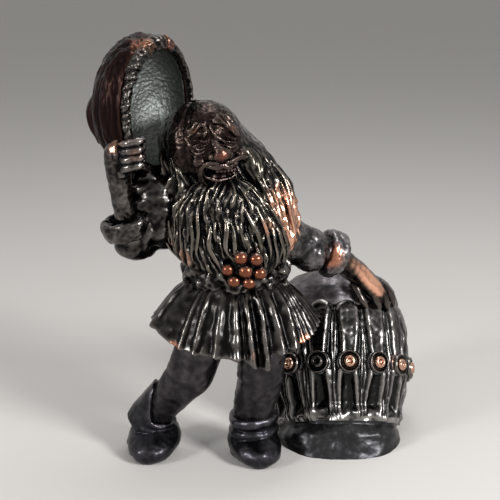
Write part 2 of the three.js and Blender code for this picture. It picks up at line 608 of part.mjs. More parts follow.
const rightFingerForm = (k) => {
  const rise = ((FINGERS - 1) / 2 - k) * fingerPitch - 0.6;
  const r = FINGER_RADIUS;
  const reach = BRIM_RADIUS + r;
  const at = (out, near) =>
    grip.clone().addScaledVector(hatOut, out).addScaledVector(hatNear, near).setZ(grip.z + rise);
  return solid(
    sweep(
      [
        [...at(-reach * 0.9, reach * 0.5), r * 0.9, r],
        [...at(0, reach), r, r],
        [...at(reach * 0.9, reach * 0.55), r, r],
        [...at(reach * 1.15, -reach * 0.1), r * 0.55, r * 0.55],
      ],
      { sides: 5, steps: 3, across: Z_AXIS },
    ),
  );
};

// Left arm: down to the keg, the hand flat on its lid
const LEFT_ARM_AXIS = new THREE.Vector3().subVectors(LEFT_ELBOW, LEFT_SHOULDER).normalize();
const leftSleeveForm = (grow = 0) => {
  const r = LEFT_SLEEVE_RADIUS;
  const upperArm = new THREE.Vector3().lerpVectors(LEFT_SHOULDER, LEFT_ELBOW, 0.5);
  upperArm.z -= 1;
  return solid(
    sweep(
      [
        [...LEFT_SHOULDER, r * 1.2, r * 1.35],
        [...upperArm, r * 1.05, r * 1.25],
        [...LEFT_ELBOW, r, r],
      ],
      { sides: 14, steps: 5, across: Y_AXIS, grow },
    ),
  );
};
const LEFT_CUFF_AT = LEFT_ELBOW.clone().addScaledVector(LEFT_ARM_AXIS, CUFF_WIDTH * 0.1);
const leftCuffForm = (grow) => cuffForm(LEFT_CUFF_AT, LEFT_ARM_AXIS, LEFT_SLEEVE_RADIUS, grow);

// Keg, in its own frame: +Z up its axis, origin where the axis meets the ground
const kegPlace = new THREE.Matrix4().makeRotationX(-KEG_LEAN).setPosition(KEG_FOOT);
const onKeg = (geometry) => solid(geometry.applyMatrix4(kegPlace));
const KEG_BODY_FROM = KEG_FOOT_HEIGHT + SEAT_GAP;
const KEG_BODY_TO = KEG_BODY_FROM + KEG_BODY_HEIGHT;
const kegRadius = (height) => {
  const belly = (height - KEG_BODY_FROM) / KEG_BODY_HEIGHT;
  const ends = THREE.MathUtils.lerp(KEG_FOOT_RADIUS - 0.6, KEG_TOP_RADIUS, belly);
  const bulge = KEG_BULGE_RADIUS - (KEG_FOOT_RADIUS + KEG_TOP_RADIUS) / 2;
  return ends + bulge * 4 * belly * (1 - belly);
};
const STRAP_SIDES = 5;
const KEG_RINGS = 5;
const strapHalfAngle = (height) => {
  const pitch = TAU / KEG_STRAPS;
  return height > STUD_HEIGHT
    ? pitch * THREE.MathUtils.mapLinear(height, STUD_HEIGHT, KEG_BODY_TO, 0.17, 0.38)
    : pitch * THREE.MathUtils.mapLinear(height, KEG_BODY_FROM, STUD_HEIGHT, 0.3, 0.17);
};
const kegBodyForm = (grow = 0) =>
  onKeg(
    skin(KEG_RINGS, KEG_STRAPS * STRAP_SIDES, (ring, j) => {
      const height = KEG_BODY_FROM + (ring / (KEG_RINGS - 1)) * KEG_BODY_HEIGHT;
      const pitch = TAU / KEG_STRAPS;
      const half = strapHalfAngle(height);
      const foot = half + pitch * 0.04;
      const across = [-pitch / 2, -foot, -half, half, foot][j % STRAP_SIDES];
      const rise = [0.9, 0, 1, 1, 0][j % STRAP_SIDES] * STRAP_RISE;
      const ends = ring === 0 || ring === KEG_RINGS - 1 ? 0 : 1;
      const angle = Math.floor(j / STRAP_SIDES) * pitch + across - Math.PI / 2 + STRAP_TURN;
      const radius = kegRadius(height) + rise * ends + grow;
      const lift = grow * (2 * (ring / (KEG_RINGS - 1)) - 1);
      return new THREE.Vector3(radius * Math.cos(angle), radius * Math.sin(angle), height + lift);
    }),
  );
const kegFootForm = (grow = 0) =>
  onKeg(
    turned(
      [
        [0, -KEG_FOOT_RADIUS],
        [KEG_FOOT_RADIUS + grow, -KEG_FOOT_RADIUS],
        [KEG_FOOT_RADIUS + grow, KEG_FOOT_HEIGHT - 1],
        [KEG_FOOT_RADIUS - 0.6 + grow, KEG_FOOT_HEIGHT + grow],
        [0, KEG_FOOT_HEIGHT + grow],
      ],
      32,
    ),
  );
const KEG_LID_FROM = KEG_BODY_TO + SEAT_GAP;
const LID_ROUNDNESS = 2.5;
const LID_RINGS = 6;
const kegLidForm = (grow = 0) => {
  const dome = Array.from({ length: LID_RINGS + 1 }, (_, i) => {
    const angle = (i / LID_RINGS) * (Math.PI / 2);
    const share = Math.cos(angle) ** (2 / LID_ROUNDNESS);
    const rise = Math.sin(angle) ** (2 / LID_ROUNDNESS);
    return [i === LID_RINGS ? 0 : KEG_TOP_RADIUS * share + grow, KEG_LID_FROM + KEG_LID_RISE * rise + grow];
  });
  return onKeg(turned([[0, KEG_LID_FROM - grow], [KEG_TOP_RADIUS + grow, KEG_LID_FROM - grow], ...dome], 24));
};
const kegForm = (grow) => join([kegBodyForm(grow), kegFootForm(grow), kegLidForm(grow)]);
const strapNumbers = Array.from({ length: KEG_STRAPS }, (_, k) => k);
const studPlace = (k) => {
  const angle = k * (TAU / KEG_STRAPS) - Math.PI / 2 + STRAP_TURN;
  const out = new THREE.Vector3(Math.cos(angle), Math.sin(angle), 0);
  const seat = kegRadius(STUD_HEIGHT) + STRAP_RISE + SEAT_GAP;
  const at = out.clone().multiplyScalar(seat).setZ(STUD_HEIGHT);
  return new THREE.Matrix4().multiplyMatrices(kegPlace, facing(at, out));
};
const studForm = (k) => {
  const r = STUD_RADIUS;
  return solid(
    turned(
      [
        [0, -STUD_SHANK_LENGTH],
        [STUD_SHANK_RADIUS, -STUD_SHANK_LENGTH],
        [STUD_SHANK_RADIUS, 0],
        [r, 0],
        [r, 0.9],
        [r * 0.66, 0.6],
        [0, 1.6],
      ],
      8,
    ).applyMatrix4(studPlace(k)),
  );
};
const studHole = (k) => {
  const length = STUD_SHANK_LENGTH * 2;
  return solid(
    new THREE.CylinderGeometry(STUD_SHANK_RADIUS + SEAT_GAP, STUD_SHANK_RADIUS + SEAT_GAP, length, 6)
      .rotateX(Math.PI / 2)
      .applyMatrix4(studPlace(k)),
  );
};

// Left hand: draped over the lid's front and side. A place on the lid is a turn from the front, a height
// along the keg's axis and a lift off the surface
const onLid = (turn, height, lift) => {
  const rise = THREE.MathUtils.clamp((height - KEG_LID_FROM) / KEG_LID_RISE, 0, 0.98);
  const radius = KEG_TOP_RADIUS * (1 - rise ** LID_ROUNDNESS) ** (1 / LID_ROUNDNESS) + lift;
  const angle = THREE.MathUtils.degToRad(turn);
  return new THREE.Vector3(radius * Math.sin(angle), -radius * Math.cos(angle), height).applyMatrix4(kegPlace);
};
const KNUCKLE_TURN = 30;
const KNUCKLE_HEIGHT = KEG_LID_FROM + KEG_LID_RISE * 0.45;
const leftPalmForm = (grow = 0) => {
  const r = FOREARM_RADIUS;
  const wrist = LEFT_CUFF_AT.clone().addScaledVector(LEFT_ARM_AXIS, -1);
  const palm = onLid(KNUCKLE_TURN - 18, KNUCKLE_HEIGHT + 2.6, r);
  const bend = new THREE.Vector3().lerpVectors(wrist, palm, 0.55).add(new THREE.Vector3(0.8, 0, 1));
  return solid(
    sweep(
      [
        [...wrist, r * 0.9, r * 0.9],
        [...bend, r, r * 0.92],
        [...palm, r * 0.9, r * 1.1],
        [...onLid(KNUCKLE_TURN, KNUCKLE_HEIGHT, r * 0.6), r * 0.75, r * 1.3],
        [...onLid(KNUCKLE_TURN + 9, KNUCKLE_HEIGHT - 1, r * 0.4), r * 0.5, r * 1.1],
      ],
      { sides: 8, steps: 7, across: new THREE.Vector3(0.5, -0.75, 0.45).normalize(), grow },
    ),
  );
};
const leftFingerForm = (k) => {
  const r = FINGER_RADIUS;
  const height = KNUCKLE_HEIGHT + ((FINGERS - 1) / 2 - k) * r * 1.8;
  return solid(
    sweep(
      [
        [...onLid(KNUCKLE_TURN - 2, height + 0.4, r * 1.5), r, r],
        [...onLid(KNUCKLE_TURN + 14, height - 1, r * 1.5), r, r],
        [...onLid(KNUCKLE_TURN + 27, height - 3.4, r * 0.9), r * 0.9, r * 0.9],
        [...onLid(KNUCKLE_TURN + 34, height - 5.6, r * 0.5), r * 0.45, r * 0.45],
      ],
      { sides: 5, steps: 3, across: Z_AXIS },
    ),
  );
};
const leftThumbForm = () => {
  const r = FINGER_RADIUS * 1.1;
  return solid(
    sweep(
      [
        [...onLid(KNUCKLE_TURN - 16, KNUCKLE_HEIGHT, r * 1.9), r, r],
        [...onLid(KNUCKLE_TURN - 12, KNUCKLE_HEIGHT - 4, r * 1.1), r, r],
        [...onLid(KNUCKLE_TURN - 7, KNUCKLE_HEIGHT - 7.4, r * 0.7), r * 0.5, r * 0.5],
      ],
      { sides: 5, steps: 3, across: Y_AXIS },
    ),
  );
};

// Dowels: steel pins that locate the castings while they are soldered
function dowel(at, axis) {
  const place = facing(at, axis);
  const pin = (grow) =>
    solid(
      new THREE.CylinderGeometry(DOWEL_RADIUS + grow, DOWEL_RADIUS + grow, 2 * (DOWEL_HALF_LENGTH + grow), 8)
        .rotateX(Math.PI / 2)
        .applyMatrix4(place),
    );
  return { pin: pin(0), hole: pin(SEAT_GAP) };
}
const RIGHT_ARM_AXIS = new THREE.Vector3().subVectors(RIGHT_ELBOW, RIGHT_SHOULDER).normalize();
const kegAxis = new THREE.Vector3(0, Math.sin(KEG_LEAN), Math.cos(KEG_LEAN));
const inKeg = (forward, height) => new THREE.Vector3(0, -forward, height).applyMatrix4(kegPlace);
const dowels = {
  neck: dowel(new THREE.Vector3(...spineAt(TORSO_HEIGHT)), new THREE.Vector3(-LEAN_SIDEWAYS, 0, 1)),
  waist: dowel(new THREE.Vector3(...spineAt(-WAIST_TENON)), Z_AXIS),
  right_hip: dowel(RIGHT_HIP, Z_AXIS),
  left_hip: dowel(LEFT_HIP, Z_AXIS),
  right_ankle: dowel(RIGHT_ANKLE.clone().setZ(RIGHT_ANKLE.z - ANKLE_TENON), Z_AXIS),
  left_ankle: dowel(LEFT_ANKLE.clone().setZ(LEFT_ANKLE.z - ANKLE_TENON), Z_AXIS),
  right_shoulder: dowel(RIGHT_SHOULDER.clone().addScaledVector(RIGHT_ARM_AXIS, 5.5), RIGHT_ARM_AXIS),
  left_shoulder: dowel(LEFT_SHOULDER.clone().addScaledVector(LEFT_ARM_AXIS, 5), LEFT_ARM_AXIS),
  keg_lid: dowel(inKeg(0, KEG_LID_FROM), kegAxis),
  keg_foot: dowel(inKeg(KEG_FOOT_RADIUS / 2, KEG_BODY_FROM), kegAxis),
};
const holes = Object.fromEntries(Object.entries(dowels).map(([name, { hole }]) => [name, hole]));

// Seats: each casting is cut back from the neighbours that it is soldered to
const g = SEAT_GAP;
const keg = kegForm(g);
const hair = hairForm(g);
const beard = beardForm(g);
const torso = torsoForm(g);
const hatShell = hatShellForm(g);
const brim = brimForm(g);
const sash = sashForm(g);
const skull = skullForm(g);
const head = headForm(g);
const underSkirt = slab(HIP_Z - SEAT_GAP + GROUND_SIZE / 2);
const fingersOf = (finger) => Array.from({ length: FINGERS }, (_, k) => finger(k));
const rightHand = join([rightForearmForm(), ...fingersOf(rightFingerForm)]);
const leftHand = join([leftPalmForm(), ...fingersOf(leftFingerForm), leftThumbForm()]);

const castings = {
  torso: [cut(torsoForm(), holes.neck, holes.waist, holes.right_shoulder, holes.left_shoulder), darkMetal],
  head: [cut(headForm(), torso, holes.neck), darkMetal],
  beard: [cut(beardForm(), torso, head, sash), darkMetal],
  hair: [
    cut(hairForm(), torso, head, beardSeat(g), hatShell, brim, holes.right_shoulder, holes.left_shoulder),
    darkMetal,
  ],
  right_moustache: [cut(moustacheForm(-1), head, beard, hair), darkMetal],
  left_moustache: [cut(moustacheForm(1), head, beard, hair), darkMetal],
  skirt: [cut(skirtForm(), torso, keg, holes.waist, holes.right_hip, holes.left_hip), darkMetal],
  sash: [cut(sashForm(), torso, hair), darkMetal],
  grape_buckle: [cut(grapeForm(), beard, sash), wornCopper],
  right_leg: [cut(rightLegForm(), underSkirt, holes.right_hip, holes.right_ankle), darkMetal],
  left_leg: [cut(leftLegForm(), underSkirt, keg, holes.left_hip, holes.left_ankle), darkMetal],
  right_boot: [cut(rightBootForm(), rightLegForm(g), holes.right_ankle, ground), darkMetal],
  left_boot: [cut(leftBootForm(), leftLegForm(g), keg, holes.left_ankle, ground), darkMetal],
  right_sleeve: [cut(rightSleeveForm(), hair, torso, beard, hatShell, brim, holes.right_shoulder), darkMetal],
  left_sleeve: [cut(leftSleeveForm(), hair, torso, beard, sash, holes.left_shoulder), darkMetal],
  right_cuff: [cut(rightCuffForm(), rightSleeveForm(g), rightForearmForm(g), hair), darkMetal],
  left_cuff: [cut(leftCuffForm(), leftSleeveForm(g), leftPalmForm(g), keg), darkMetal],
  right_hand: [cut(rightHand, rightSleeveForm(g), hatShell, brim), darkMetal],
  left_hand: [cut(leftHand, leftSleeveForm(g), keg), wornCopper],
  hat_crown: [cut(hatShellForm(), skull), darkMetal],
  hat_brim: [cut(brimForm(), skull), darkMetal],
  hat_tip: [cut(tipForm(), hatShell), darkMetal],
  keg_foot: [cut(kegFootForm(), ground, holes.keg_foot), darkMetal],
  keg_body: [
    cut(kegBodyForm(), ground, holes.keg_foot, holes.keg_lid, ...strapNumbers.map(studHole)),
    darkMetal,
  ],
  keg_lid: [cut(kegLidForm(), holes.keg_lid), darkMetal],
};
for (const k of strapNumbers) {
  castings[`keg_stud_${String(k + 1).padStart(2, "0")}`] = [cut(studForm(k), ground), wornCopper];
}

const figure = new THREE.Group();
function place(name, casting, finish) {
  const { vertProperties, triVerts } = casting.getMesh();
  const geometry = new THREE.BufferGeometry();
  geometry.setAttribute("position", new THREE.BufferAttribute(vertProperties, 3));
  geometry.setIndex(new THREE.BufferAttribute(triVerts, 1));
  geometry.computeVertexNormals();
  const mesh = new THREE.Mesh(geometry, finish);
  mesh.name = name;
  figure.add(mesh);
}
for (const [name, [casting, finish]] of Object.entries(castings)) {
  place(name, casting, finish);
}
for (const [name, { pin }] of Object.entries(dowels)) {
  place(`${name}_dowel`, pin, steelPin);
}

const root = new THREE.Group();
root.add(figure);
const bounds = new THREE.Box3().setFromObject(figure);
const middle = bounds.getCenter(new THREE.Vector3());
figure.position.set(-middle.x, -middle.y, -bounds.min.z);

export default root;
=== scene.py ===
import math

import bmesh
import bpy
import numpy as np
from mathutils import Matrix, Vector, noise


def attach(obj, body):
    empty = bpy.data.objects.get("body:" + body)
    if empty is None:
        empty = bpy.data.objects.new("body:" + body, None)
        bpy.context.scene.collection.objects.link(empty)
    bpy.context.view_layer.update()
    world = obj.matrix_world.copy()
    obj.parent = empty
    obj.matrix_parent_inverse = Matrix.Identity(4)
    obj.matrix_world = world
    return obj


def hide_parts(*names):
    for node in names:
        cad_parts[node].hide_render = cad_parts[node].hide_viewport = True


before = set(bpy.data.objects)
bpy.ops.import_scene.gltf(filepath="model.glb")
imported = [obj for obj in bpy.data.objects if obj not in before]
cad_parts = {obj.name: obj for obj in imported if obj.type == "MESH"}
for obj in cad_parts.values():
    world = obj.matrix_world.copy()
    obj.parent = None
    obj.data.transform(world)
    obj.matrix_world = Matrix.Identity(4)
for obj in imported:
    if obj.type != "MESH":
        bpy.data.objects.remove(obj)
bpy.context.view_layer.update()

# Keg foot
# The flat-cut wedge that lets the keg lean back: a squarish oval plate, cast in dark metal and pinned under
# the keg, left uneven where it was knocked off its sprue.
MM = 0.001  # the figure is drawn in millimetres, the frame is in metres
TAU = 2 * math.pi
FIGURE_SHIFT = np.array((-2.363, -25.572, 0.0))  # from the drawing's origin to the frame's
KEG_FOOT = np.array((28.5, 26.0, 0.0))
KEG_LEAN = math.radians(28)
KEG_FOOT_RADIUS = 19.0
KEG_FOOT_HEIGHT = 2.5
KEG_FOOT_SQUARENESS = 2.7  # 2 is a circle
PATINA_CLOUD = 7.0  # mm across the cloudy patches of the dark finish


def spline(points, count):
    """A smooth line of `count` samples through rows of numbers."""
    p = np.asarray(points, float)
    p = np.vstack([2 * p[0] - p[1], p, 2 * p[-1] - p[-2]])
    t = np.linspace(0, len(p) - 3, count)
    i = np.minimum(t.astype(int), len(p) - 4)
    u = (t - i)[:, None]
    a, b, c, d = p[i], p[i + 1], p[i + 2], p[i + 3]
    return 0.5 * (2 * b + (c - a) * u + (2 * a - 5 * b + 4 * c - d) * u**2 + (3 * b - a - 3 * c + d) * u**3)


def skin(points, hoop=False):
    """A closed skin over rows of points: fanned to a pole at each end, or joined end to end as a hoop."""
    rows, sides, _ = points.shape
    ring = np.arange(rows * sides).reshape(rows, sides)
    low, high = (ring, np.roll(ring, -1, 0)) if hoop else (ring[:-1], ring[1:])
    quads = np.stack([low, np.roll(low, -1, 1), np.roll(high, -1, 1), high], -1).reshape(-1, 4).tolist()
    if hoop:
        return points.reshape(-1, 3), quads
    pole = np.full(sides, rows * sides)
    start = np.stack([np.roll(ring[0], -1), ring[0], pole], -1).tolist()
    end = np.stack([ring[-1], np.roll(ring[-1], -1), pole + 1], -1).tolist()
    return np.vstack([points.reshape(-1, 3), points[0].mean(0), points[-1].mean(0)]), quads + start + end


def turns(count):
    """The angles of `count` even steps round a circle."""
    return np.arange(count) / count * TAU


def polar(far, angle, height):
    """Points at a distance from the Z axis, an angle round it and a height."""
    return np.stack([far * np.cos(angle), far * np.sin(angle), height + 0 * angle], -1)


def turned(profile, segments=64, hoop=False):
    """A revolved profile of [radius, height] rows about +Z."""
    radius, height = np.asarray(profile, float).T[:, :, None]
    return skin(polar(radius, turns(segments), height), hoop)


def placed(shell, at, axis, across=(1, 0, 0)):
    """A shell carried so that its +Z lies along `axis` and its +X as near to `across` as it can."""
    verts, faces = shell
    up = np.asarray(axis, float) / np.linalg.norm(axis)
    side = np.asarray(across, float) - np.dot(across, up) * up
    side = side / np.linalg.norm(side)
    return verts @ np.array([side, np.cross(up, side), up]) + at, faces


def carried(carry, point):
    """One point taken along by a move that carries shells."""
    return carry((np.asarray(point)[None], []))[0][0]


def smoothstep(low, high, value):
    share = np.clip((value - low) / (high - low), 0, 1)
    return share * share * (3 - 2 * share)


def lumps(points, size, depth, seed=0.0):
    """Uneven casting: a height for each point, with bumps about `size` mm across."""
    spots = np.asarray(points).reshape(-1, 3) / size + seed
    return depth * np.array([noise.noise(Vector(p)) for p in spots]).reshape(np.shape(points)[:-1])


def as_cast(*waves, squeeze=(1, 1, 1)):
    """The chase of a plain uneven casting: [size, depth] of its bumps in mm, the first of them squeezed along
    X, Y and Z."""
    first, *finer = waves
    return lambda points, normals: sum(
        [lumps(points * squeeze, *first), *(lumps(points, *wave) for wave in finer)]
    )


def read(mesh, layer="co"):
    """A mesh's points, or their normals, as rows."""
    values = np.zeros(len(mesh.vertices) * 3, np.float32)
    mesh.vertices.foreach_get(layer, values)
    return values.reshape(-1, 3).astype(float)


def ridges(mesh, reach):
    """How far each point stands proud of the surface `reach` mm round it, in mm; hollows are below zero."""
    points = read(mesh)
    count = len(points)
    ends = np.zeros(len(mesh.edges) * 2, np.int32)
    mesh.edges.foreach_get("vertices", ends)
    a, b = ends.reshape(-1, 2).T
    valence = np.maximum(np.bincount(a, minlength=count) + np.bincount(b, minlength=count), 1)
    spacing = np.median(np.linalg.norm(points[a] - points[b], axis=1)) / MM
    soft = points.copy()
    for _ in range(int(np.clip(4 * (reach / spacing) ** 2, 1, 90))):
        near = [np.bincount(a, soft[b, k], count) + np.bincount(b, soft[a, k], count) for k in range(3)]
        soft = 0.5 * soft + 0.5 * np.stack(near, -1) / valence[:, None]
    return ((points - soft) * read(mesh, "normal")).sum(1) / MM


def put(name, data):
    """A mesh, lamp or lens put into the scene."""
    made = bpy.data.objects.new(name, data)
    bpy.context.scene.collection.objects.link(made)
    return made


def cast(name, nodes, finish, shells, grain=0.0, softening=3, chase=None, handled=(), reach=0.7, stands=False):
    """One finished casting in the place of its plain solids. Its shells are melted together at `grain` mm,
    chased and, where it stands on the ground, cut flat. chase(points, normals) gives each point's height in
    mm; handled lists [x, y, z, radius, strength] of the spots that hands have rubbed."""
    verts, faces, start = [], [], 0
    for shell_verts, shell_faces in shells:
        verts.append(shell_verts)
        faces += [[corner + start for corner in face] for face in shell_faces]
        start += len(shell_verts)
    mesh = bpy.data.meshes.new(name)
    mesh.from_pydata((np.vstack(verts) + FIGURE_SHIFT) * MM, [], faces)
    piece = put(name, mesh)
    if grain:
        melt = piece.modifiers.new("melt", "REMESH")
        melt.mode = "VOXEL"
        melt.voxel_size = grain * MM
        soften = piece.modifiers.new("soften", "SMOOTH")
        soften.factor = 0.5
        soften.iterations = softening
        melted = piece.evaluated_get(bpy.context.evaluated_depsgraph_get())
        piece.data = bpy.data.meshes.new_from_object(melted)
        piece.modifiers.clear()
        bpy.data.meshes.remove(mesh)
        mesh = piece.data
        mesh.name = name
    if chase:
        points, normals = read(mesh), read(mesh, "normal")
        points += normals * chase(points / MM - FIGURE_SHIFT, normals)[:, None] * MM
        mesh.vertices.foreach_set("co", points.ravel())
    if stands:
        trim = bmesh.new()
        trim.from_mesh(mesh)
        everything = trim.verts[:] + trim.edges[:] + trim.faces[:]
        ground = {"plane_co": (0, 0, 0), "plane_no": (0, 0, 1)}
        cut = bmesh.ops.bisect_plane(trim, geom=everything, clear_inner=True, **ground)
        rim = [e for e in cut["geom_cut"] if isinstance(e, bmesh.types.BMEdge)]
        bmesh.ops.contextual_create(trim, geom=rim)
        trim.to_mesh(mesh)
        trim.free()
    mesh.update()
    mesh.shade_smooth()
    points = read(mesh) / MM - FIGURE_SHIFT
    touch = np.zeros(len(points))
    for x, y, z, radius, strength in handled:
        far = np.linalg.norm(points - (x, y, z), axis=1) / radius
        touch = np.maximum(touch, strength * np.exp(-far * far))
    for layer, values in (("ridge", ridges(mesh, reach)), ("handled", touch)):
        mesh.attributes.new(layer, "FLOAT", "POINT").data.foreach_set("value", values.astype(np.float32))
    mesh.materials.append(finish)
    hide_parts(*nodes)
    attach(piece, "root")
    return piece


def linear(hex_code):
    """An sRGB hex colour as the linear colour that a shader takes."""
    parts = [int(hex_code[i : i + 2], 16) / 255 for i in (1, 3, 5)]
    return (*[c / 12.92 if c <= 0.04045 else ((c + 0.055) / 1.055) ** 2.4 for c in parts], 1.0)


def material(name):
    """An empty material and its node tree."""
    made = bpy.data.materials.new(name)
    made.use_nodes = True
    made.node_tree.nodes.clear()
    return made, made.node_tree


def add(tree, kind, inputs=None, out=0, **settings):
    """Adds a node with its settings and gives its socket `out`. An input is a value or another socket."""
    made = tree.nodes.new("ShaderNode" + kind)
    for name, value in settings.items():
        setattr(made, name, value)
    for name, value in (inputs or {}).items():
        if isinstance(value, bpy.types.NodeSocket):
            tree.links.new(value, made.inputs[name])
        else:
            made.inputs[name].default_value = value
    return made.outputs if out is None else made.outputs[out]


def ramp(tree, value, low, high, to_low=0.0, to_high=1.0, kind="LINEAR"):
    """What lies between low and high, carried to between to_low and to_high."""
    ends = {"Value": value, "From Min": low, "From Max": high, "To Min": to_low, "To Max": to_high}
    return add(tree, "MapRange", ends, interpolation_type=kind)


def antiqued_copper(
    name, patina="#191818", burnish="#6b6663", copper="#86543f", shine=0.2, grit=0.8, relief=0.05
):
    """Copper plate blackened with liver of sulphur and rubbed back: black in the hollows, a grey burnish on
    what stands proud, and bare copper where hands have polished it. shine is its roughness; grit and relief
    are the width and height of the casting's grain in mm."""
    made, tree = material("antiqued copper, " + name)
    place = add(tree, "TexCoord", out="Object")
    ridge = add(tree, "Attribute", out="Fac", attribute_name="ridge")
    touch = add(tree, "Attribute", out="Fac", attribute_name="handled")
    cloud = add(tree, "TexNoise", {"Vector": place, "Scale": 1 / (PATINA_CLOUD * MM), "Detail": 4.0})
    grain = add(tree, "TexNoise", {"Vector": place, "Scale": 1 / (grit * MM), "Detail": 5.0})
    proud = ramp(tree, ridge, -0.4, 0.4, -0.6, 0.6)
    # Copper shows only where it is handled, first on what stands proud there, and patchily
    crest = add(tree, "Math", {0: proud, 1: 1.5, 2: 1.0}, operation="MULTIPLY_ADD")
    rub = add(tree, "Math", {0: crest, 1: touch}, operation="MULTIPLY")
    patchy = add(tree, "Math", {0: cloud, 1: 0.3, 2: rub}, operation="MULTIPLY_ADD")
    speckled = add(tree, "Math", {0: grain, 1: 0.3, 2: patchy}, operation="MULTIPLY_ADD")
    worn = ramp(tree, speckled, 0.6, 1.3, kind="SMOOTHSTEP")
    swell = add(tree, "Math", {0: cloud, 1: 0.25, 2: proud}, operation="MULTIPLY_ADD")
    rubbed = ramp(tree, swell, 0.02, 0.65, kind="SMOOTHSTEP")
    dark = add(tree, "Mix", {0: rubbed, 6: linear(patina), 7: linear(burnish)}, 2, data_type="RGBA")
    colour = add(tree, "Mix", {0: worn, 6: dark, 7: linear(copper)}, 2, data_type="RGBA")
    dull = ramp(tree, grain, 0.3, 0.7, shine - 0.04, shine + 0.08)
    bump = add(tree, "Bump", {"Height": grain, "Strength": 0.6, "Distance": relief * MM})
    metal = {"Base Color": colour, "Metallic": 1.0, "Roughness": dull, "Normal": bump}
    add(tree, "OutputMaterial", {"Surface": add(tree, "BsdfPrincipled", metal)}, None)
    return made


def on_keg(shell):
    return placed(shell, KEG_FOOT, keg_axis)


keg_axis = np.array((0.0, math.sin(KEG_LEAN), math.cos(KEG_LEAN)))
r, h = KEG_FOOT_RADIUS, KEG_FOOT_HEIGHT
foot_profile = [[0.5, -r], [r - 0.4, -r], [r, -r * 0.5], [r + 0.2, -h * 2], [r + 0.5, -h]]
foot_profile += [[r - 0.3, h * 0.2], [r - 1.8, h + 0.8], [0.5, h + 1.0]]
foot_far, foot_up = spline(foot_profile, 120).T[:, :, None]
angle, power = turns(300), KEG_FOOT_SQUARENESS
squarer = (np.abs(np.cos(angle)) ** power + np.abs(np.sin(angle)) ** power) ** (-1 / power)
foot_far = foot_far * (1 + (squarer - 1) * smoothstep(h, -h, foot_up))
foot_shell = on_keg(skin(polar(foot_far, angle, foot_up)))
sole_metal = antiqued_copper("worn foot", patina="#303032", burnish="#515153", shine=0.34)
knocked = as_cast((5.0, 0.45), (2.0, 0.12), (0.9, 0.06), squeeze=(1, 1, 1.6))
cast("keg_foot_plate", ["keg_foot"], sole_metal, [foot_shell], chase=knocked, stands=True)

# Keg body
# A bulged tub hung all round with leather flaps, cast in one. Each flap is folded over the rim and narrows to
# a stud; below it the skin falls in a V of folds, and a doubled seam runs between flaps.
KEG_BODY_FROM = 2.8
KEG_BODY_TO = 37.8
KEG_BULGE_RADIUS = 22.6
KEG_TOP_RADIUS = 20.4
KEG_LID_FROM = 38.1
KEG_LID_RISE = 14.2
LID_ROUNDNESS = 2.5
KEG_STRAPS = 15
STRAP_TURN = math.radians(5)
STRAP_RISE = 1.2
STUD_HEIGHT = 19.5
STUD_SEAT = 3.9
keg_pitch = TAU / KEG_STRAPS
strap_pitch = keg_pitch * KEG_BULGE_RADIUS


def keg_radius(height):
    belly = (height - KEG_BODY_FROM) / (KEG_BODY_TO - KEG_BODY_FROM)
    ends = (KEG_FOOT_RADIUS - 0.6) * (1 - belly) + KEG_TOP_RADIUS * belly
    return ends + (KEG_BULGE_RADIUS - (KEG_FOOT_RADIUS + KEG_TOP_RADIUS) / 2) * 4 * belly * (1 - belly)


def dome_radius(height, foot):
    """How far out a domed lid is at a height along the keg's axis, where it is `foot` mm out at its foot."""
    share = np.clip((height - KEG_LID_FROM) / KEG_LID_RISE, 0, 0.98)
    return foot * (1 - share**LID_ROUNDNESS) ** (1 / LID_ROUNDNESS)


heights = np.linspace(KEG_BODY_FROM - 1.2, KEG_BODY_TO + 4.4, 200)
height, angle = np.meshgrid(heights, turns(720), indexing="ij")
strap = (angle + math.pi / 2 - STRAP_TURN) / keg_pitch
number = np.round(strap)
sway = 0.03 * np.sin(number * 2.4 + height * 0.21)
arc = np.abs(strap - number + sway) * strap_pitch  # mm from the middle of the nearest flap
above = np.clip((height - STUD_HEIGHT) / (KEG_BODY_TO - STUD_HEIGHT), 0, 1)
below = np.clip((STUD_HEIGHT - height) / (STUD_HEIGHT - KEG_BODY_FROM), 0, 1)
upper = smoothstep(STUD_HEIGHT - 1.5, STUD_HEIGHT + 0.5, height)
over_rim = smoothstep(KEG_BODY_TO - 2.0, KEG_BODY_TO + 1.0, height)
# A dished flap with a thick edge, its top lip rounded over the rim on to the lid
flap_half = (0.22 + 0.25 * above**0.7) * strap_pitch
flap_share = arc / flap_half
flap = smoothstep(1.2, 0.55, flap_share) * (0.75 + 0.45 * above**2 + 0.6 * over_rim)
flap = flap + 0.22 * np.exp(-(((flap_share - 0.72) / 0.25) ** 2))
lip_at = KEG_BODY_TO + 1.9 + 0.4 * np.sin(number * 1.9) - 2.2 * flap_share**2
lip = np.clip((lip_at - height) / 2.4, 0, 1)
flap = flap * upper * np.sqrt(1 - (1 - lip) ** 2)
# Below the stud a sunk panel between two folds that part like a V
fold_half = (0.22 + 0.15 * below) * strap_pitch
fold = np.exp(-(((arc - fold_half) / 1.5) ** 2)) * (1.1 - 0.4 * below)
sunk = smoothstep(fold_half, fold_half - 1.3, arc) * smoothstep(0.12, 0.4, below) * smoothstep(1, 0.75, below)
lower = (1 - upper) * smoothstep(0.02, 0.15, below)
seam_at = strap_pitch * 0.5 - arc
seam = 0.75 * np.exp(-(((seam_at - 0.3) / 0.55) ** 2)) * (0.6 + 0.4 * np.sin(height * 0.3 + number) ** 2)
seam = (seam + 0.3 * smoothstep(1.6, 0.2, seam_at) * below) * (1 - over_rim)
seat = smoothstep(STUD_SEAT + 0.5, STUD_SEAT - 0.5, np.hypot(arc, height - STUD_HEIGHT)) * 0.8
raised = np.maximum.reduce([flap, fold * lower, seam, seat]) - 0.8 * sunk * lower
tub = keg_radius(np.minimum(height, KEG_BODY_TO)) - 0.3
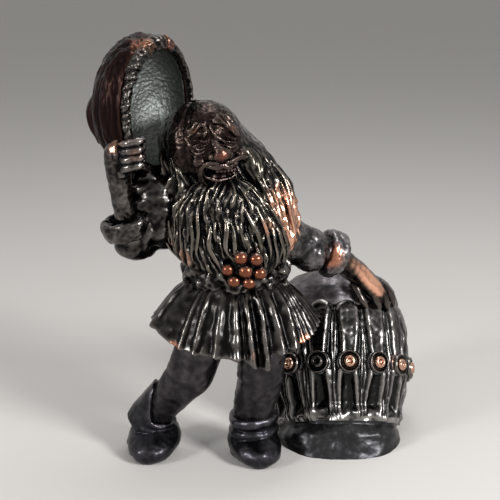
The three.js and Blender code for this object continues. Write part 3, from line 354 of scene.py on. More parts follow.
under_flaps = dome_radius(height, KEG_TOP_RADIUS - 0.4) - 0.9
radius = tub * (1 - over_rim) + under_flaps * over_rim + STRAP_RISE * raised
# The skin is gathered at the bottom, and all of it is uneven
smooth_keg = polar(radius, angle, height)
gathers = smoothstep(8, 2.5, height) * (1.5 + lumps(smooth_keg * (1, 1, 0.8), 3.0, 1.5, 3.1))
pitting = lumps(smooth_keg, 4.5, 0.55) + lumps(smooth_keg, 1.5, 0.13, 7.0)
radius = radius + gathers + pitting * (1 - 0.6 * over_rim)
keg_shell = on_keg(skin(polar(radius, angle, height)))
keg_metal = antiqued_copper("keg casting", patina="#242424", burnish="#8a8785", shine=0.24)
flap_rub = [47.6, 18.0, 27.0, 5.0, 0.9]
cast("keg_body_straps", ["keg_body"], keg_metal, [keg_shell], handled=[flap_rub], stands=True)

# Keg studs
# Fifteen turned studs, each a cup with a raised lip round a domed, drilled boss. Their shanks go into the
# tub, and as they stand proud most are rubbed to bare copper.
STUD_RADIUS = 3.5
STUD_SHANK = 2.4
STUD_LIFT = 1.05
r = STUD_RADIUS
stud_outline = [[0.2, -STUD_SHANK], [1.1, -STUD_SHANK], [1.1, -0.4], [r - 0.2, -0.3], [r, 0.45]]
stud_outline += [[r - 0.3, 0.95], [r - 0.75, 0.75], [r - 1.05, 0.3], [2.05, 0.35], [1.9, 1.0], [1.5, 1.55]]
stud_outline += [[1.0, 1.65], [0.72, 1.3], [0.5, 1.0], [0.1, 0.95]]
stud_metal = antiqued_copper("rubbed studs", copper="#d3a38b")
for k in range(KEG_STRAPS):
    turn = k * keg_pitch - math.pi / 2 + STRAP_TURN
    out = np.array((math.cos(turn), math.sin(turn), 0.0))
    seat_at = out * (keg_radius(STUD_HEIGHT) + STUD_LIFT) + (0, 0, STUD_HEIGHT)
    stud = on_keg(placed(turned(spline(stud_outline, 70), 64), seat_at, out, (0, 0, 1)))
    rub = [*carried(on_keg, seat_at), 2.5, 0.2 if k % 5 == 4 else 1.1]  # every fifth is left dark
    name = f"stud_{k + 1:02d}"
    cast(name, ["keg_" + name], stud_metal, [stud], handled=[rub], reach=0.5)

# Keg lid
# A smooth domed cover, cast like the tub and pinned down on it, inside the lips of the flaps, but painted a
# lighter grey than the tub as painted light. Its dents were left as cast, and the left hand rests on its front
# edge.
quarter = np.linspace(0, math.pi / 2, 90)[:-1]
dome_far = (KEG_TOP_RADIUS - 0.5) * np.cos(quarter) ** (2 / LID_ROUNDNESS) + 0.1
dome_up = KEG_LID_FROM + KEG_LID_RISE * np.sin(quarter) ** (2 / LID_ROUNDNESS)
lid_skirt = [[0.5, KEG_LID_FROM - 0.6], [KEG_TOP_RADIUS - 1, KEG_LID_FROM - 0.6]]
lid_shell = on_keg(turned(np.vstack([lid_skirt, np.column_stack([dome_far, dome_up])]), 200))
# Painted light: the lid's grey is lighter than the tub's and stands in for the light that falls on it
lid_painted_light_metal = antiqued_copper("smooth lid", patina="#524e52", burnish="#827e81", shine=0.4)
lid_rub = [46.0, 25.0, 44.0, 7.0, 0.4]
dented = as_cast((7.0, 0.7), (2.6, 0.3), (1.0, 0.1))
cast("keg_lid_dome", ["keg_lid"], lid_painted_light_metal, [lid_shell], chase=dented, handled=[lid_rub])

# Boots
# Soft ankle boots, slack at the top: the left has two rolls, the right one roll and a flap that stands up at
# its outer side. Each is cast whole in dark metal, and a dowel holds the leg in its shaft.
RIGHT_ANKLE = np.array((-29.2, 12.0, 12.0))
LEFT_ANKLE = np.array((1.0, 8.8, 12.0))
RIGHT_ANKLE_RADIUS = 5.2
LEFT_ANKLE_RADIUS = 5.9
BOOT_LENGTH = 20.5
BOOT_HALF_WIDTH = 7.9
BOOT_HEIGHT = 13.4
BOOT_GRAIN = 0.28
RIGHT_SHIN = (0.55, -0.29, 0.79)


def unit(rows):
    """The rows' directions, each one long."""
    return rows / np.linalg.norm(rows, axis=-1)[..., None]


def tube(stations, sides=24, steps=40, across=(1, 0, 0), relief=None):
    """An oval section swept along a smooth spine; a station is [x, y, z, half across, half deep]."""
    path = spline(stations, steps + 1)
    centre, half = path[:, :3], path[:, 3:5]
    along = unit(np.gradient(centre, axis=0))
    side = unit(np.asarray(across) - (along @ np.asarray(across, float))[:, None] * along)
    deep = np.cross(along, side)
    around = turns(sides)
    extra = relief(np.linspace(0, 1, steps + 1)[:, None], around[None]) if relief else 0
    reach_side = ((half[:, :1] + extra) * np.cos(around))[..., None] * side[:, None]
    reach_deep = ((half[:, 1:] + extra) * np.sin(around))[..., None] * deep[:, None]
    return skin(centre[:, None] + reach_side + reach_deep)


def ball(centre, half, rows=14):
    """A rounded lump with half sizes along X, Y and Z."""
    lat = np.linspace(-math.pi / 2, math.pi / 2, rows + 1)[1:-1, None]
    return skin(np.asarray(centre) + polar(np.cos(lat), turns(2 * rows), np.sin(lat)) * np.asarray(half))


def slack_roll(radius, thick, height, tilt):
    """A roll of soft leather round +Z, `tilt` mm higher on one side than on the other."""
    around, about = turns(60), turns(16)[:, None]
    plump = thick * (1 + 0.15 * np.sin(3 * around + 1))
    lift = height + 1.25 * plump * np.sin(about) + tilt * np.cos(around)
    return skin(polar(radius + plump * np.cos(about), around, lift), hoop=True)


def boot(ankle, r, toe_turn, lean, rolls):
    """A boot's shells round a leg of radius r; rolls lists [height, tilt] of the slack rolls at its top."""
    heel = BOOT_LENGTH * 0.36
    toe = BOOT_LENGTH - heel
    w = BOOT_HALF_WIDTH
    along = [[heel + 0.1, 4.2, w * 0.3, 2.6], [heel * 0.85, 4.6, w * 0.66, 4.8]]
    along += [[heel * 0.5, 5.0, w * 0.88, 6.0], [0, 4.9, w, 6.4], [-toe * 0.4, 3.9, w * 0.95, 5.0]]
    along += [[-toe * 0.7, 3.1, w * 0.78, 3.8], [-toe * 0.92, 2.6, w * 0.46, 2.6], [-toe, 2.4, w * 0.18, 1.2]]
    foot = tube([[0, *row] for row in along], 40, 70)
    foot = placed(foot, (ankle[0], ankle[1], 0), (0, 0, 1), (math.cos(toe_turn), math.sin(toe_turn), 0))
    top = BOOT_HEIGHT
    shaft = turned([[0.3, 0.5], [r + 1.3, 0.5], [r + 1.2, 6], [r + 0.9, top - 1.5], [0.3, top - 1]])
    rings = [slack_roll(r + 0.6, 1.25, height, tilt) for height, tilt in rolls]
    shaft_foot = np.array((ankle[0] - math.tan(lean) * top * 0.75, ankle[1], 0))
    return [foot] + [placed(part, shaft_foot, (math.tan(lean), 0, 1)) for part in (shaft, *rings)]


right_parts = boot(RIGHT_ANKLE, RIGHT_ANKLE_RADIUS, math.radians(-10), math.radians(18), [[8.2, -1.6]])
around, rising = turns(72), np.linspace(0, 1, 24)[:, None]
flap_to = 1.4 + 8.6 * np.clip(np.cos(around - math.radians(165)), 0, 1) ** 1.2
flap_outside = polar(RIGHT_ANKLE_RADIUS + 2.1 - 0.5 * rising, around, -5 + (flap_to + 5) * rising)
flap_inside = flap_outside[::-1] * (0.72, 0.72, 1)
right_parts.append(placed(skin(np.concatenate([flap_outside, flap_inside]), True), RIGHT_ANKLE, RIGHT_SHIN))
right_parts.append(ball(RIGHT_ANKLE + (-2.4, 1.0, -4.0), (5.2, 6.0, 5.0)))
left_rolls = [[BOOT_HEIGHT - 5.0, 0.2], [BOOT_HEIGHT - 1.1, 0.4]]
left_parts = boot(LEFT_ANKLE, LEFT_ANKLE_RADIUS, math.radians(14), 0.0, left_rolls)
boot_metal = antiqued_copper("boots", patina="#222226", burnish="#504e53", shine=0.3)
slack = as_cast((4.0, 0.35), (1.3, 0.08))
for side, parts in (("right", right_parts), ("left", left_parts)):
    cast(f"{side}_ankle_boot", [f"{side}_boot"], boot_metal, parts, BOOT_GRAIN, 10, slack, stands=True)

# Legs
# Plain hose from the skirt's hollow into the boots, with the edge of the breeches standing proud below the
# knee. Each leg is one dark casting with a dowel at the hip and one at the ankle.
WAIST = np.array((-4.3, 8.0, 58.0))
HIP_Z = 43.5
THIGH_RADIUS = 7.3


def leg(hip, ankle, knee, r):
    """A leg from below the ankle to above the hip; knee is how far it is bent off the straight line."""
    bent = hip * 0.55 + ankle * 0.45 + knee
    thigh = THIGH_RADIUS
    stations = [[*(ankle - (0, 0, 7)), r * 0.9, r * 0.9], [*ankle, r, r]]
    stations += [[*(bent * 0.45 + ankle * 0.55), r * 1.1, r * 1.14], [*bent, thigh * 0.92, thigh * 0.92]]
    stations += [[*hip, thigh, thigh], [*(hip + (0, 0, 4)), thigh, thigh]]
    return tube(stations, 72, 120, relief=lambda t, a: 0.45 * smoothstep(0.52, 0.57, t + 0.03 * np.sin(a)))


hose_metal = antiqued_copper("hose", patina="#2b292b", burnish="#5d595c", shine=0.34)
drape = as_cast((4.5, 0.6), (2.2, 0.2), (1.0, 0.07), squeeze=(1, 1, 0.5))
for side, right, front, ankle, knee, r in (
    ("right", -9.5, -1, RIGHT_ANKLE, (3.4, -3.5, 0), RIGHT_ANKLE_RADIUS),
    ("left", 8, -2.6, LEFT_ANKLE, (0.6, -1.6, 0), LEFT_ANKLE_RADIUS),
):
    hip = np.array((WAIST[0] + right, WAIST[1] + front, HIP_Z - 0.3))
    cast(f"{side}_hose", [f"{side}_leg"], hose_metal, [leg(hip, ankle, knee, r)], chase=drape)

# Skirt of the tunic
# A gathered skirt: tall round pleats in front where the hem hangs in a tongue, fan lines at one side and only
# a few shallow ridges at the other. It is one casting with a hollow underside that takes the legs.
SKIRT_HALF_WIDTH = 24.8
SKIRT_HALF_DEPTH = 19.0
SKIRT_DROP = 15.8
HEM_DIP = 5.8
PLEAT_GIRTH = 22  # mm, the radius at which a pleat's width is measured
# Each pleat: degrees round at the hem, degrees of lean towards the waist, height and half width in mm
PLEATS = [(229.8, 0, 0.8, 0.8), (241.8, 0, 1.0, 0.9), (257.4, 0, 0.9, 1.3), (271.5, -1, 2.2, 1.7)]
PLEATS += [(282.5, -3, 2.6, 1.5), (291.5, 2, 2.9, 1.3), (303.0, 3, 2.5, 1.7), (313.5, 9, 2.0, 1.5)]
PLEATS += [(323.5 + 6.2 * k, 8 - k, 0.65, 0.7) for k in range(6)]
PLEATS += [(8 + 13 * k, 0, 1.2 + 0.3 * math.sin(k * 2.3), 1.8) for k in range(15)]
around = turns(840)
degrees = np.degrees(around)
fall = np.linspace(0, 1, 110)[:, None]
flare = spline([[0, 0.5], [0.2, 0.64], [0.56, 0.82], [1, 1.0]], 200)
share = np.interp(fall, flare[:, 0], flare[:, 1])
front = np.clip(-np.sin(around), 0, None)
tongue = smoothstep(math.radians(272), math.radians(289), around)
tongue = tongue * smoothstep(math.radians(296.5), math.radians(293), around)
ridge = -0.2 - 0.9 * smoothstep(262, 275, degrees) * smoothstep(322, 312, degrees)
for at, leaning, tall, wide in PLEATS:
    off = around - np.radians(at + leaning * (1 - fall))
    off = (off + math.pi) % TAU - math.pi
    ridge = ridge + tall * np.exp(-((off * PLEAT_GIRTH / wide) ** 2))
pleat = ridge * smoothstep(0.02, 0.42, fall)
dip = HEM_DIP * fall * fall * (front - 0.42) + 3.4 * fall**3 * tongue + 0.35 * fall**3 * ridge
skirt_x = WAIST[0] + (SKIRT_HALF_WIDTH * share + pleat) * np.cos(around)
skirt_y = WAIST[1] + (SKIRT_HALF_DEPTH * share + pleat) * np.sin(around)
outside = np.stack([skirt_x, skirt_y, WAIST[2] - SKIRT_DROP * fall - dip], -1)
hem = outside[-1]
hollow = np.array((WAIST[0], WAIST[1], HIP_Z))
turned_in = np.linspace(0, 1, 8)[1:, None, None]
hem_roll = hem - (hem - hollow) * (0.05, 0.05, 0) * turned_in - (0, 0, 0.5) * np.sin(turned_in * math.pi)
inward = np.linspace(0, 1, 24)[1:, None, None]
under = hem_roll[-1] * (1 - inward) + (hollow + (hem - hollow) * (0.55, 0.55, 0)) * inward
skirt_shell = skin(np.concatenate([outside, hem_roll, under])[::-1])
cloth_metal = antiqued_copper("pleated cloth", patina="#171616", burnish="#6a6663", copper="#a8735c")
hem_rubs = [[-22.0, -5.0, 40.0, 2.4, 0.75], [16.5, -3.5, 41.0, 3.0, 0.95], [2.0, -11.5, 40.0, 3.5, 0.35]]
cast("pleated_skirt", ["skirt"], cloth_metal, [skirt_shell], chase=as_cast((2.6, 0.25)), handled=hem_rubs)

# Torso and dowels
# The plain trunk inside the hair and beard, of which only a sliver shows at the waist, and the steel dowels
# that pin the castings together. Their solids stay as they are and get a finish.
DIE_MARK = 0.3  # mm
trunk_metal = antiqued_copper("plain trunk")
# Steel drawn through a die: an even grey, with fine marks that dull it a little here and there
steel, tree = material("drawn steel, bright")
marks = add(tree, "TexNoise", {"Vector": add(tree, "TexCoord", out="Object"), "Scale": 1 / (DIE_MARK * MM)})
dull = ramp(tree, marks, 0, 1, 0.3, 0.5)
drawn = add(tree, "BsdfPrincipled", {"Base Color": linear("#8c8883"), "Metallic": 1.0, "Roughness": dull})
add(tree, "OutputMaterial", {"Surface": drawn}, None)
for name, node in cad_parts.items():
    if name == "torso" or name.endswith("_dowel"):
        node.data.materials.clear()
        node.data.materials.append(trunk_metal if name == "torso" else steel)

# Sash and its grape buckle
# A rumpled cloth roll, cast as a hoop round the waist with a knot at one side. The buckle soldered on it is a
# bunch of berries, each a bead that has been polished to bare copper by handling.
SASH_HALF_WIDTH = 13.3
SASH_HALF_DEPTH = 10.6
SASH_RADIUS = 2.3
SASH_GRAIN = 0.25
BERRY_GRAIN = 0.2
turn, about = turns(240), turns(20)[:, None]
twist = about + 0.6 * np.sin(turn * 9)
thick = SASH_RADIUS * (1 + 0.12 * np.sin(turn * 13 + 3 * about) + 0.1 * np.sin(turn * 29 - 2 * about))
far = 1 + thick * np.cos(about) / SASH_HALF_WIDTH
sash_x = WAIST[0] + SASH_HALF_WIDTH * far * np.cos(turn)
sash_y = WAIST[1] + SASH_HALF_DEPTH * far * np.sin(turn)
sash_z = WAIST[2] + SASH_RADIUS - 1.0 + 1.5 * thick * np.sin(twist)
knot_at = WAIST + (SASH_HALF_WIDTH * 0.88, -SASH_HALF_DEPTH * 0.6, SASH_RADIUS)
sash_parts = [skin(np.stack([sash_x, sash_y, sash_z], -1), hoop=True), ball(knot_at, (2.9, 2.7, 2.5))]
for side in (-1, 1):
    sash_parts.append(ball(knot_at + (1.6 * side, -1.0, 1.0 * side), (1.9, 1.8, 1.7)))
cast("rolled_sash", ["sash"], cloth_metal, sash_parts, SASH_GRAIN, 6, as_cast((3.2, 0.9), (1.3, 0.3)))
# x, y, z and radius of each bead
BERRIES = [[-2.5, -7.9, 67.7, 2.15], [1.7, -7.8, 67.2, 2.05], [-6.2, -6.6, 63.8, 1.95]]
BERRIES += [[-1.2, -7.6, 63.7, 2.25], [2.8, -7.0, 62.9, 2.05], [-4.4, -6.6, 60.4, 2.05]]
BERRIES += [[-0.3, -6.8, 60.0, 2.1]]
berries = [ball((x, y, z), (size, size, size * 0.97), 20) for x, y, z, size in BERRIES]
berries.append(ball((-1.6, -4.9, 63.8), (4.6, 2.2, 4.8)))
berry_rubs = [[x, y - size, z - 0.3, 2.2, 1.0] for x, y, z, size in BERRIES]
berry_copper = antiqued_copper("polished berries", copper="#7d4b39")
cast("grape_bunch", ["grape_buckle"], berry_copper, berries, BERRY_GRAIN, 2, handled=berry_rubs, reach=0.9)

# Sleeves and cuffs
# Wide sleeves of the tunic, rumpled at the elbow, each with a turned-back cuff that stands out as a thick
# ring. Both are dark castings, the left one and its cuff painted a lighter grey as painted light on the lit
# side; a dowel holds the sleeve at the shoulder and the cuff is soldered on.
RIGHT_SHOULDER = np.array((-18.5, 11.0, 78.0))
RIGHT_ELBOW = np.array((-33.6, 6.5, 69.4))
RIGHT_CUFF_AT = RIGHT_ELBOW + (-1.8, -1.0, 4.2)
LEFT_SHOULDER = np.array((8.0, 12.0, 69.4))
LEFT_ELBOW = np.array((24.0, 19.5, 61.4))
RIGHT_SLEEVE_RADIUS = 6.4
LEFT_SLEEVE_RADIUS = 5.1
SLEEVE_GRAIN = 0.3
CUFF_WIDTH = 5.6
CUFF_FLARE = 1.9
along_y = (0, 1, 0)
r = RIGHT_SLEEVE_RADIUS
sag = RIGHT_SHOULDER * 0.4 + RIGHT_ELBOW * 0.6 + (0, 0, 5.8)
creases = lambda t, a: 0.35 * np.sin(t * 21 + 2.2 * np.sin(a * 2) + a) * smoothstep(0, 0.2, t)
upper_arm = [[*RIGHT_SHOULDER, r * 1.2, r * 1.4], [*RIGHT_ELBOW, r, r * 0.95]]
lower_arm = [[*RIGHT_ELBOW, r * 0.9, r * 0.9], [*RIGHT_CUFF_AT, r * 0.86, r * 0.86]]
right_parts = [tube(upper_arm, 48, 50, along_y, creases), tube(lower_arm, 48, 20, along_y, creases)]
right_parts += [ball(RIGHT_ELBOW, (r, r, r)), ball(sag, (r * 1.25, r * 1.1, r * 1.45))]
right_parts.append(ball(sag + (-2.5, 0.5, 4.0), (r * 0.95, r * 0.9, r * 1.3)))
rumple = as_cast((4.2, 0.8), (1.2, 0.1), squeeze=(0.6, 1, 1.4))
cast("right_wide_sleeve", ["right_sleeve"], cloth_metal, right_parts, SLEEVE_GRAIN, 5, rumple)
arm_axis = (LEFT_ELBOW - LEFT_SHOULDER) / np.linalg.norm(LEFT_ELBOW - LEFT_SHOULDER)
r = LEFT_SLEEVE_RADIUS
upper = (LEFT_SHOULDER + LEFT_ELBOW) / 2 - (0, 0, 1)
left_arm = [[*(LEFT_SHOULDER - arm_axis * 2), r * 1.15, r * 1.3], [*LEFT_SHOULDER, r * 1.2, r * 1.35]]
left_arm += [[*upper, r * 1.07, r * 1.27], [*LEFT_ELBOW, r * 1.02, r * 1.02]]
left_parts = [tube(left_arm, 64, 90, along_y, lambda t, a: 0.25 * np.sin(t * 17 + 1.5 * np.sin(a)) * t)]
left_parts.append(ball(upper + (1.8, -0.3, -2.2), (r * 1.15, r, r * 1.1)))
# Painted light: the left sleeve and cuff, on the side the window box lights, are a lighter copy of the
# sleeves' cloth
left_cloth_painted_light = antiqued_copper(
    "plain sleeves", patina="#2d2c2d", burnish="#8a8688", copper="#a8735c", shine=0.28
)
smoother = as_cast((3.5, 0.4), (1.1, 0.12))
cast("left_wide_sleeve", ["left_sleeve"], left_cloth_painted_light, left_parts, SLEEVE_GRAIN, 6, smoother)


def cuff(inside, at, axis):
    w, flare = CUFF_WIDTH, CUFF_FLARE
    profile = [[inside - 1.0, -w * 0.5], [inside + flare * 0.6, -w * 0.5], [inside + flare * 1.05, -w * 0.22]]
    profile += [[inside + flare * 1.2, w * 0.22], [inside + flare * 0.75, w * 0.5], [inside - 0.2, w * 0.46]]
    profile += [[inside - 1.2, w * 0.1], [inside - 1.0, -w * 0.5]]
    return placed(turned(spline(profile, 90)[:-1], 120, hoop=True), at, axis)


wrist_axis = np.array((-0.3, -0.15, 1.0))
ripple = as_cast((3.0, 0.5), (1.0, 0.15))
right_ring = cuff(RIGHT_SLEEVE_RADIUS * 0.86, RIGHT_CUFF_AT, wrist_axis)
cast("right_turned_cuff", ["right_cuff"], cloth_metal, [right_ring], chase=ripple)
left_cuff_at = LEFT_ELBOW + arm_axis * CUFF_WIDTH * 0.1
left_ring = cuff(LEFT_SLEEVE_RADIUS, left_cuff_at, arm_axis)
cuff_rub = [*(left_cuff_at + (-0.5, -6.2, 1.0)), 4.5, 0.95]
cast("left_turned_cuff", ["left_cuff"], left_cloth_painted_light, [left_ring], chase=ripple, handled=[cuff_rub])

# Hat
# A deep felt bowl, its brim a roll that is tufted along the near edge and broad at the top, and the point of
# the crown folded down behind. They are three castings soldered together: the outside is brushed in long
# streaks, the lining is as rough as cast and painted a pale grey as painted light falling into the bowl.
HAT_CENTRE = np.array((-27.3, 12.0, 107.2))
HAT_RADIUS = 16.9
HAT_STRETCH = 1.22
HAT_DEPTH = 16.8
HAT_MOUTH = math.radians(112)
HAT_WALL = 1.8
LINING_DEPTH = 12.0
HAT_TURN = math.radians(34)
BRIM_RADIUS = 1.9
BRIM_TUFTS = 58
BRIM_GRAIN = 0.2
TIP_RADIUS = 3.5
TIP_GRAIN = 0.28
hat_out = np.array((math.cos(HAT_TURN), -math.sin(HAT_TURN), 0.0))
hat_near = np.array((-math.sin(HAT_TURN), -math.cos(HAT_TURN), 0.0))
hat_up = np.array((0.0, 0.0, 1.0))
draw = np.random.default_rng(7)


def hat_place(near, up, out):
    return HAT_CENTRE + near[..., None] * hat_near + up[..., None] * hat_up + out[..., None] * hat_out


def bowl(inset, depth):
    """The points of the hat's bowl from its crown to its mouth, `inset` mm inside the outer one."""
    from_crown = np.linspace(0.02, HAT_MOUTH, 110)[:, None]
    angle = -turns(420)
    radius = (HAT_RADIUS - inset) * np.sin(from_crown)
    behind = depth * (math.cos(HAT_MOUTH) - np.cos(from_crown)) / (1 - math.cos(HAT_MOUTH)) + 0 * angle
    return hat_place(radius * np.cos(angle), radius * HAT_STRETCH * np.sin(angle), behind)


outer, inner = bowl(0.0, HAT_DEPTH), bowl(HAT_WALL, LINING_DEPTH)[::-1]
felt = lumps(outer * (1.6, 1.6, 0.16), 3.2, 0.5, 2.0) + lumps(outer * (1.6, 1.6, 0.2), 1.2, 0.25, 5.0)
rough = lumps(inner, 0.8, 0.16, 1.0) + lumps(inner, 0.45, 0.08, 4.0) + lumps(inner, 6.0, 0.5)
outer = outer + unit(outer - HAT_CENTRE) * felt[..., None]
inner = inner - unit(inner - HAT_CENTRE) * rough[..., None]
felt_metal = antiqued_copper("brushed felt", patina="#181111", burnish="#30211d", shine=0.36, grit=1.1)
# Painted light: the lining's pale grey, much lighter than the felt, stands in for light falling into the bowl;
# it is also rougher
lining_painted_light_metal = antiqued_copper(
    "rough as cast", patina="#767a77", burnish="#bfc3bf", shine=0.55, grit=0.6, relief=0.25
)
rim_top = HAT_CENTRE + hat_near * 6 + hat_up * 18.5
bowl_shell = skin(np.concatenate([outer, inner]))
hat = cast("hat_bowl", ["hat_crown"], felt_metal, [bowl_shell], handled=[[*rim_top, 5.0, 0.5]])
hat.data.materials.append(lining_painted_light_metal)
# Faces that look into the bowl are its lining
middle_of_hat = Vector((HAT_CENTRE + FIGURE_SHIFT - hat_out * 4) * MM)
for patch in hat.data.polygons:
    patch.material_index = int(patch.normal.dot(patch.center - middle_of_hat) < 0)
brim_middle = (HAT_RADIUS - HAT_WALL / 2) * math.sin(HAT_MOUTH)


def brim_point(angle):
    """A place along the brim: 0 is nearest the viewer, a quarter turn is the top."""
    angle = np.asarray(angle, float)
    out = 0 * angle + BRIM_RADIUS * 0.8
    return hat_place(brim_middle * np.cos(angle), brim_middle * HAT_STRETCH * np.sin(angle), out)


def on_brim(angle, about, thick):
    """A place on the brim's roll, `about` turning from outside the hat towards its mouth."""
    outward = unit(brim_point(angle) - HAT_CENTRE - hat_out * BRIM_RADIUS * 0.8)
    off = (thick * np.cos(about))[..., None] * outward + (thick * np.sin(about))[..., None] * hat_out
    return brim_point(angle) + off


def brim_thick(angle):
    """The roll is thin at the far side, rope-like at the near one and a broad band at the top."""
    bearing = np.degrees(angle) % 360
    places = [0, 22, 45, 80, 108, 140, 215, 260, 300, 360]
    return np.interp(bearing, places, [1.3, 1.35, 1.9, 2.3, 1.8, 1.0, 0.9, 1.2, 1.3, 1.3])


about, round_rim = np.meshgrid(turns(24), turns(420), indexing="ij")
brim_parts = [skin(on_brim(round_rim, about, brim_thick(round_rim)), hoop=True)]
for k in range(BRIM_TUFTS):
    at = math.radians(-54 + k * 2.8 + draw.uniform(-2.2, 2.2))
    sweep_round = np.radians(np.linspace(draw.uniform(-80, -20), draw.uniform(90, 170), 7))
    along = at + draw.uniform(-0.06, 0.3) * np.linspace(-0.5, 0.5, 7)
    girth = draw.uniform(0.3, 0.75) * np.sin(np.linspace(0.35, 2.9, 7))
    tuft = on_brim(along, sweep_round, brim_thick(along) - draw.uniform(0.0, 0.35))
    brim_parts.append(tube(np.column_stack([tuft, girth, girth]), 8, 20, (0.3, 0.2, 1)))
brim_metal = antiqued_copper("rolled brim", "#1c1a19", "#68635f", "#8d5f49", shine=0.27)
brim_rubs = [[*rim_top, 4.0, 0.9], [*brim_point(1.25), 3.5, 0.7], [*brim_point(1.8), 4.0, 0.7]]
tufted = as_cast((1.6, 0.3), (0.8, 0.12))
cast("hat_rolled_brim", ["hat_brim"], brim_metal, brim_parts, BRIM_GRAIN, 2, tufted, brim_rubs, 0.5)
tip_line = []
TIP_FALL = [(3, -1, 2, 1, 1), (-2.4, 0.4, 0.4, 0.94, 0.94), (-4.4, 1.6, -3, 0.82, 0.78)]
TIP_FALL += [(-3.6, 2.6, -7.5, 0.6, 0.54), (-1.4, 3.2, -12, 0.22, 0.22)]
for out, near, up, wide, deep in TIP_FALL:
    at = HAT_CENTRE - hat_out * HAT_DEPTH + hat_out * out + hat_near * near + hat_up * up
    tip_line.append([*at, TIP_RADIUS * wide, TIP_RADIUS * deep])
tip_shell = tube(tip_line, 48, 80, hat_near)
streaked = as_cast((2.6, 0.3), squeeze=(1, 1, 0.4))
cast("hat_folded_tip", ["hat_tip"], felt_metal, [tip_shell], TIP_GRAIN, chase=streaked)

# Hands
# Bare forearms and hands, polished by handling. The right fist holds the brim with four fingers; the left
# hand lies over the keg's lid with its thumb in front. Each is one casting, soldered into its cuff.
FOREARM_RADIUS = 3.5
FINGER_RADIUS = 1.25
GRIP_ANGLE = math.radians(-38)
HAND_GRAIN = 0.2
# A finger bent round the brim: how far out and near in shares of its reach, its drop in mm and its girth
FINGER_BEND = [(-1.2, 0.45, -1.0, 1.0), (-0.5, 0.95, -0.5, 1.12), (0.15, 1.08, 0.0, 1.0)]
FINGER_BEND += [(0.9, 0.6, 0.6, 1.1), (1.15, -0.05, 0.9, 0.72)]
grip = brim_point(GRIP_ANGLE)
fist = grip + (-4.6, 1.4, -1.4)
low = RIGHT_CUFF_AT + wrist_axis / np.linalg.norm(wrist_axis) * -1.2
wrist = (low + fist) / 2 + (-0.6, 0, 0)
r = FOREARM_RADIUS
forearm = [[*low, r, r], [*wrist, r * 0.97, r * 0.97], [*fist, r * 1.2, r * 1.2]]
forearm += [[*(fist + (0.5, -0.1, 5)), r * 0.7, r * 0.6]]
right_parts = [tube(forearm, 32, 60, along_y), ball(fist + (1.0, -2.0, -4.0), (2.2, 1.9, 2.6))]
finger_reach = BRIM_RADIUS + FINGER_RADIUS
for k in range(4):
    rise = (1.5 - k) * FINGER_RADIUS * 1.85 - 0.6
    rows = []
    for out, near, drop, girth in FINGER_BEND:
        x, y, _ = grip + hat_out * (finger_reach * out) + hat_near * (finger_reach * near)
        rows.append([x, y, grip[2] + rise + drop, FINGER_RADIUS * girth, FINGER_RADIUS * girth])
    right_parts.append(tube(rows, 20, 40, (0, 0, 1)))
skin_metal = antiqued_copper("bare skin", "#151314", "#867f7b", "#b9836b")
fist_rubs = [[*(fist + (-1, -3.2, 3.0)), 4.0, 0.5], [*(grip + hat_out * 2.5 + hat_near * 2.5), 3.6, 0.45]]
knuckly = as_cast((2.5, 0.2), (1.0, 0.1))
cast("right_fist", ["right_hand"], skin_metal, right_parts, HAND_GRAIN, 3, knuckly, fist_rubs)


def on_lid(turn, height, lift):
    """A place on the lid: degrees from its front, height along the keg's axis and lift off the surface."""
    turn, far = math.radians(turn), dome_radius(height, KEG_TOP_RADIUS) + lift
    return carried(on_keg, (far * math.sin(turn), -far * math.cos(turn), height))


palm = [[*(left_cuff_at - arm_axis), 3.6, 3.6], [28.4, 23.2, 57.6, 3.7, 3.7], [33.0, 27.6, 52.9, 3.7, 3.6]]
palm += [[36.7, 29.2, 49.0, 3.6, 3.4], [39.8, 30.0, 45.5, 3.3, 2.8], [41.9, 30.4, 42.3, 1.8, 1.3]]
left_parts = [tube(palm, 40, 90, keg_axis)]
# The thumb lies in front, the fingers curl over the lid's edge; each is [degrees round, height, lift] rows
DIGITS = [
    [(9, 44.5, 3.0), (14, 41.5, 1.6), (19, 38.6, 1.1), (23, 36.4, 0.8)],
    [(22, 44.0, 3.4), (27, 41.5, 2.0), (32, 38.5, 1.3), (35, 36.2, 0.9)],
    [(29, 44.0, 3.4), (36, 41.8, 2.0), (42, 39.0, 1.2), (46, 36.8, 0.8)],
    [(33, 45.0, 3.0), (43, 43.2, 1.9), (51, 40.6, 1.1), (56, 38.4, 0.6)],
]
DIGIT_GIRTHS = (1.5, 1.5, 1.35, 0.6)
for digit in DIGITS:
    rows = [[*on_lid(*place), girth, girth] for place, girth in zip(digit, DIGIT_GIRTHS)]
    left_parts.append(tube(rows, 18, 40, along_y))
# Partly painted highlight: the hand's bare copper is real wear, lightened to the brightness of a glint
hand_copper = antiqued_copper("polished hand", "#1c1918", "#5c5450", "#dea88d")
# The upper front of the hand, from the wrist to the knuckles, is rubbed bare; the rub is also set where the
# window box glints on it, as a painted highlight
rub_and_glint_line = [[29.6, 20.2, 59.1, 0.4], [34.2, 24.6, 54.4, 1.1], [37.9, 26.2, 50.5, 1.4]]
rub_and_glint_line = spline(rub_and_glint_line + [[41.0, 27.0, 47.0, 1.2]], 9)
hand_rubs_and_painted_glint = [[x, y, z, 2.4, strength] for x, y, z, strength in rub_and_glint_line]
smooth_hand = as_cast((2.5, 0.2))
cast("left_resting_hand", ["left_hand"], hand_copper, left_parts, HAND_GRAIN, 4, smooth_hand, hand_rubs_and_painted_glint)

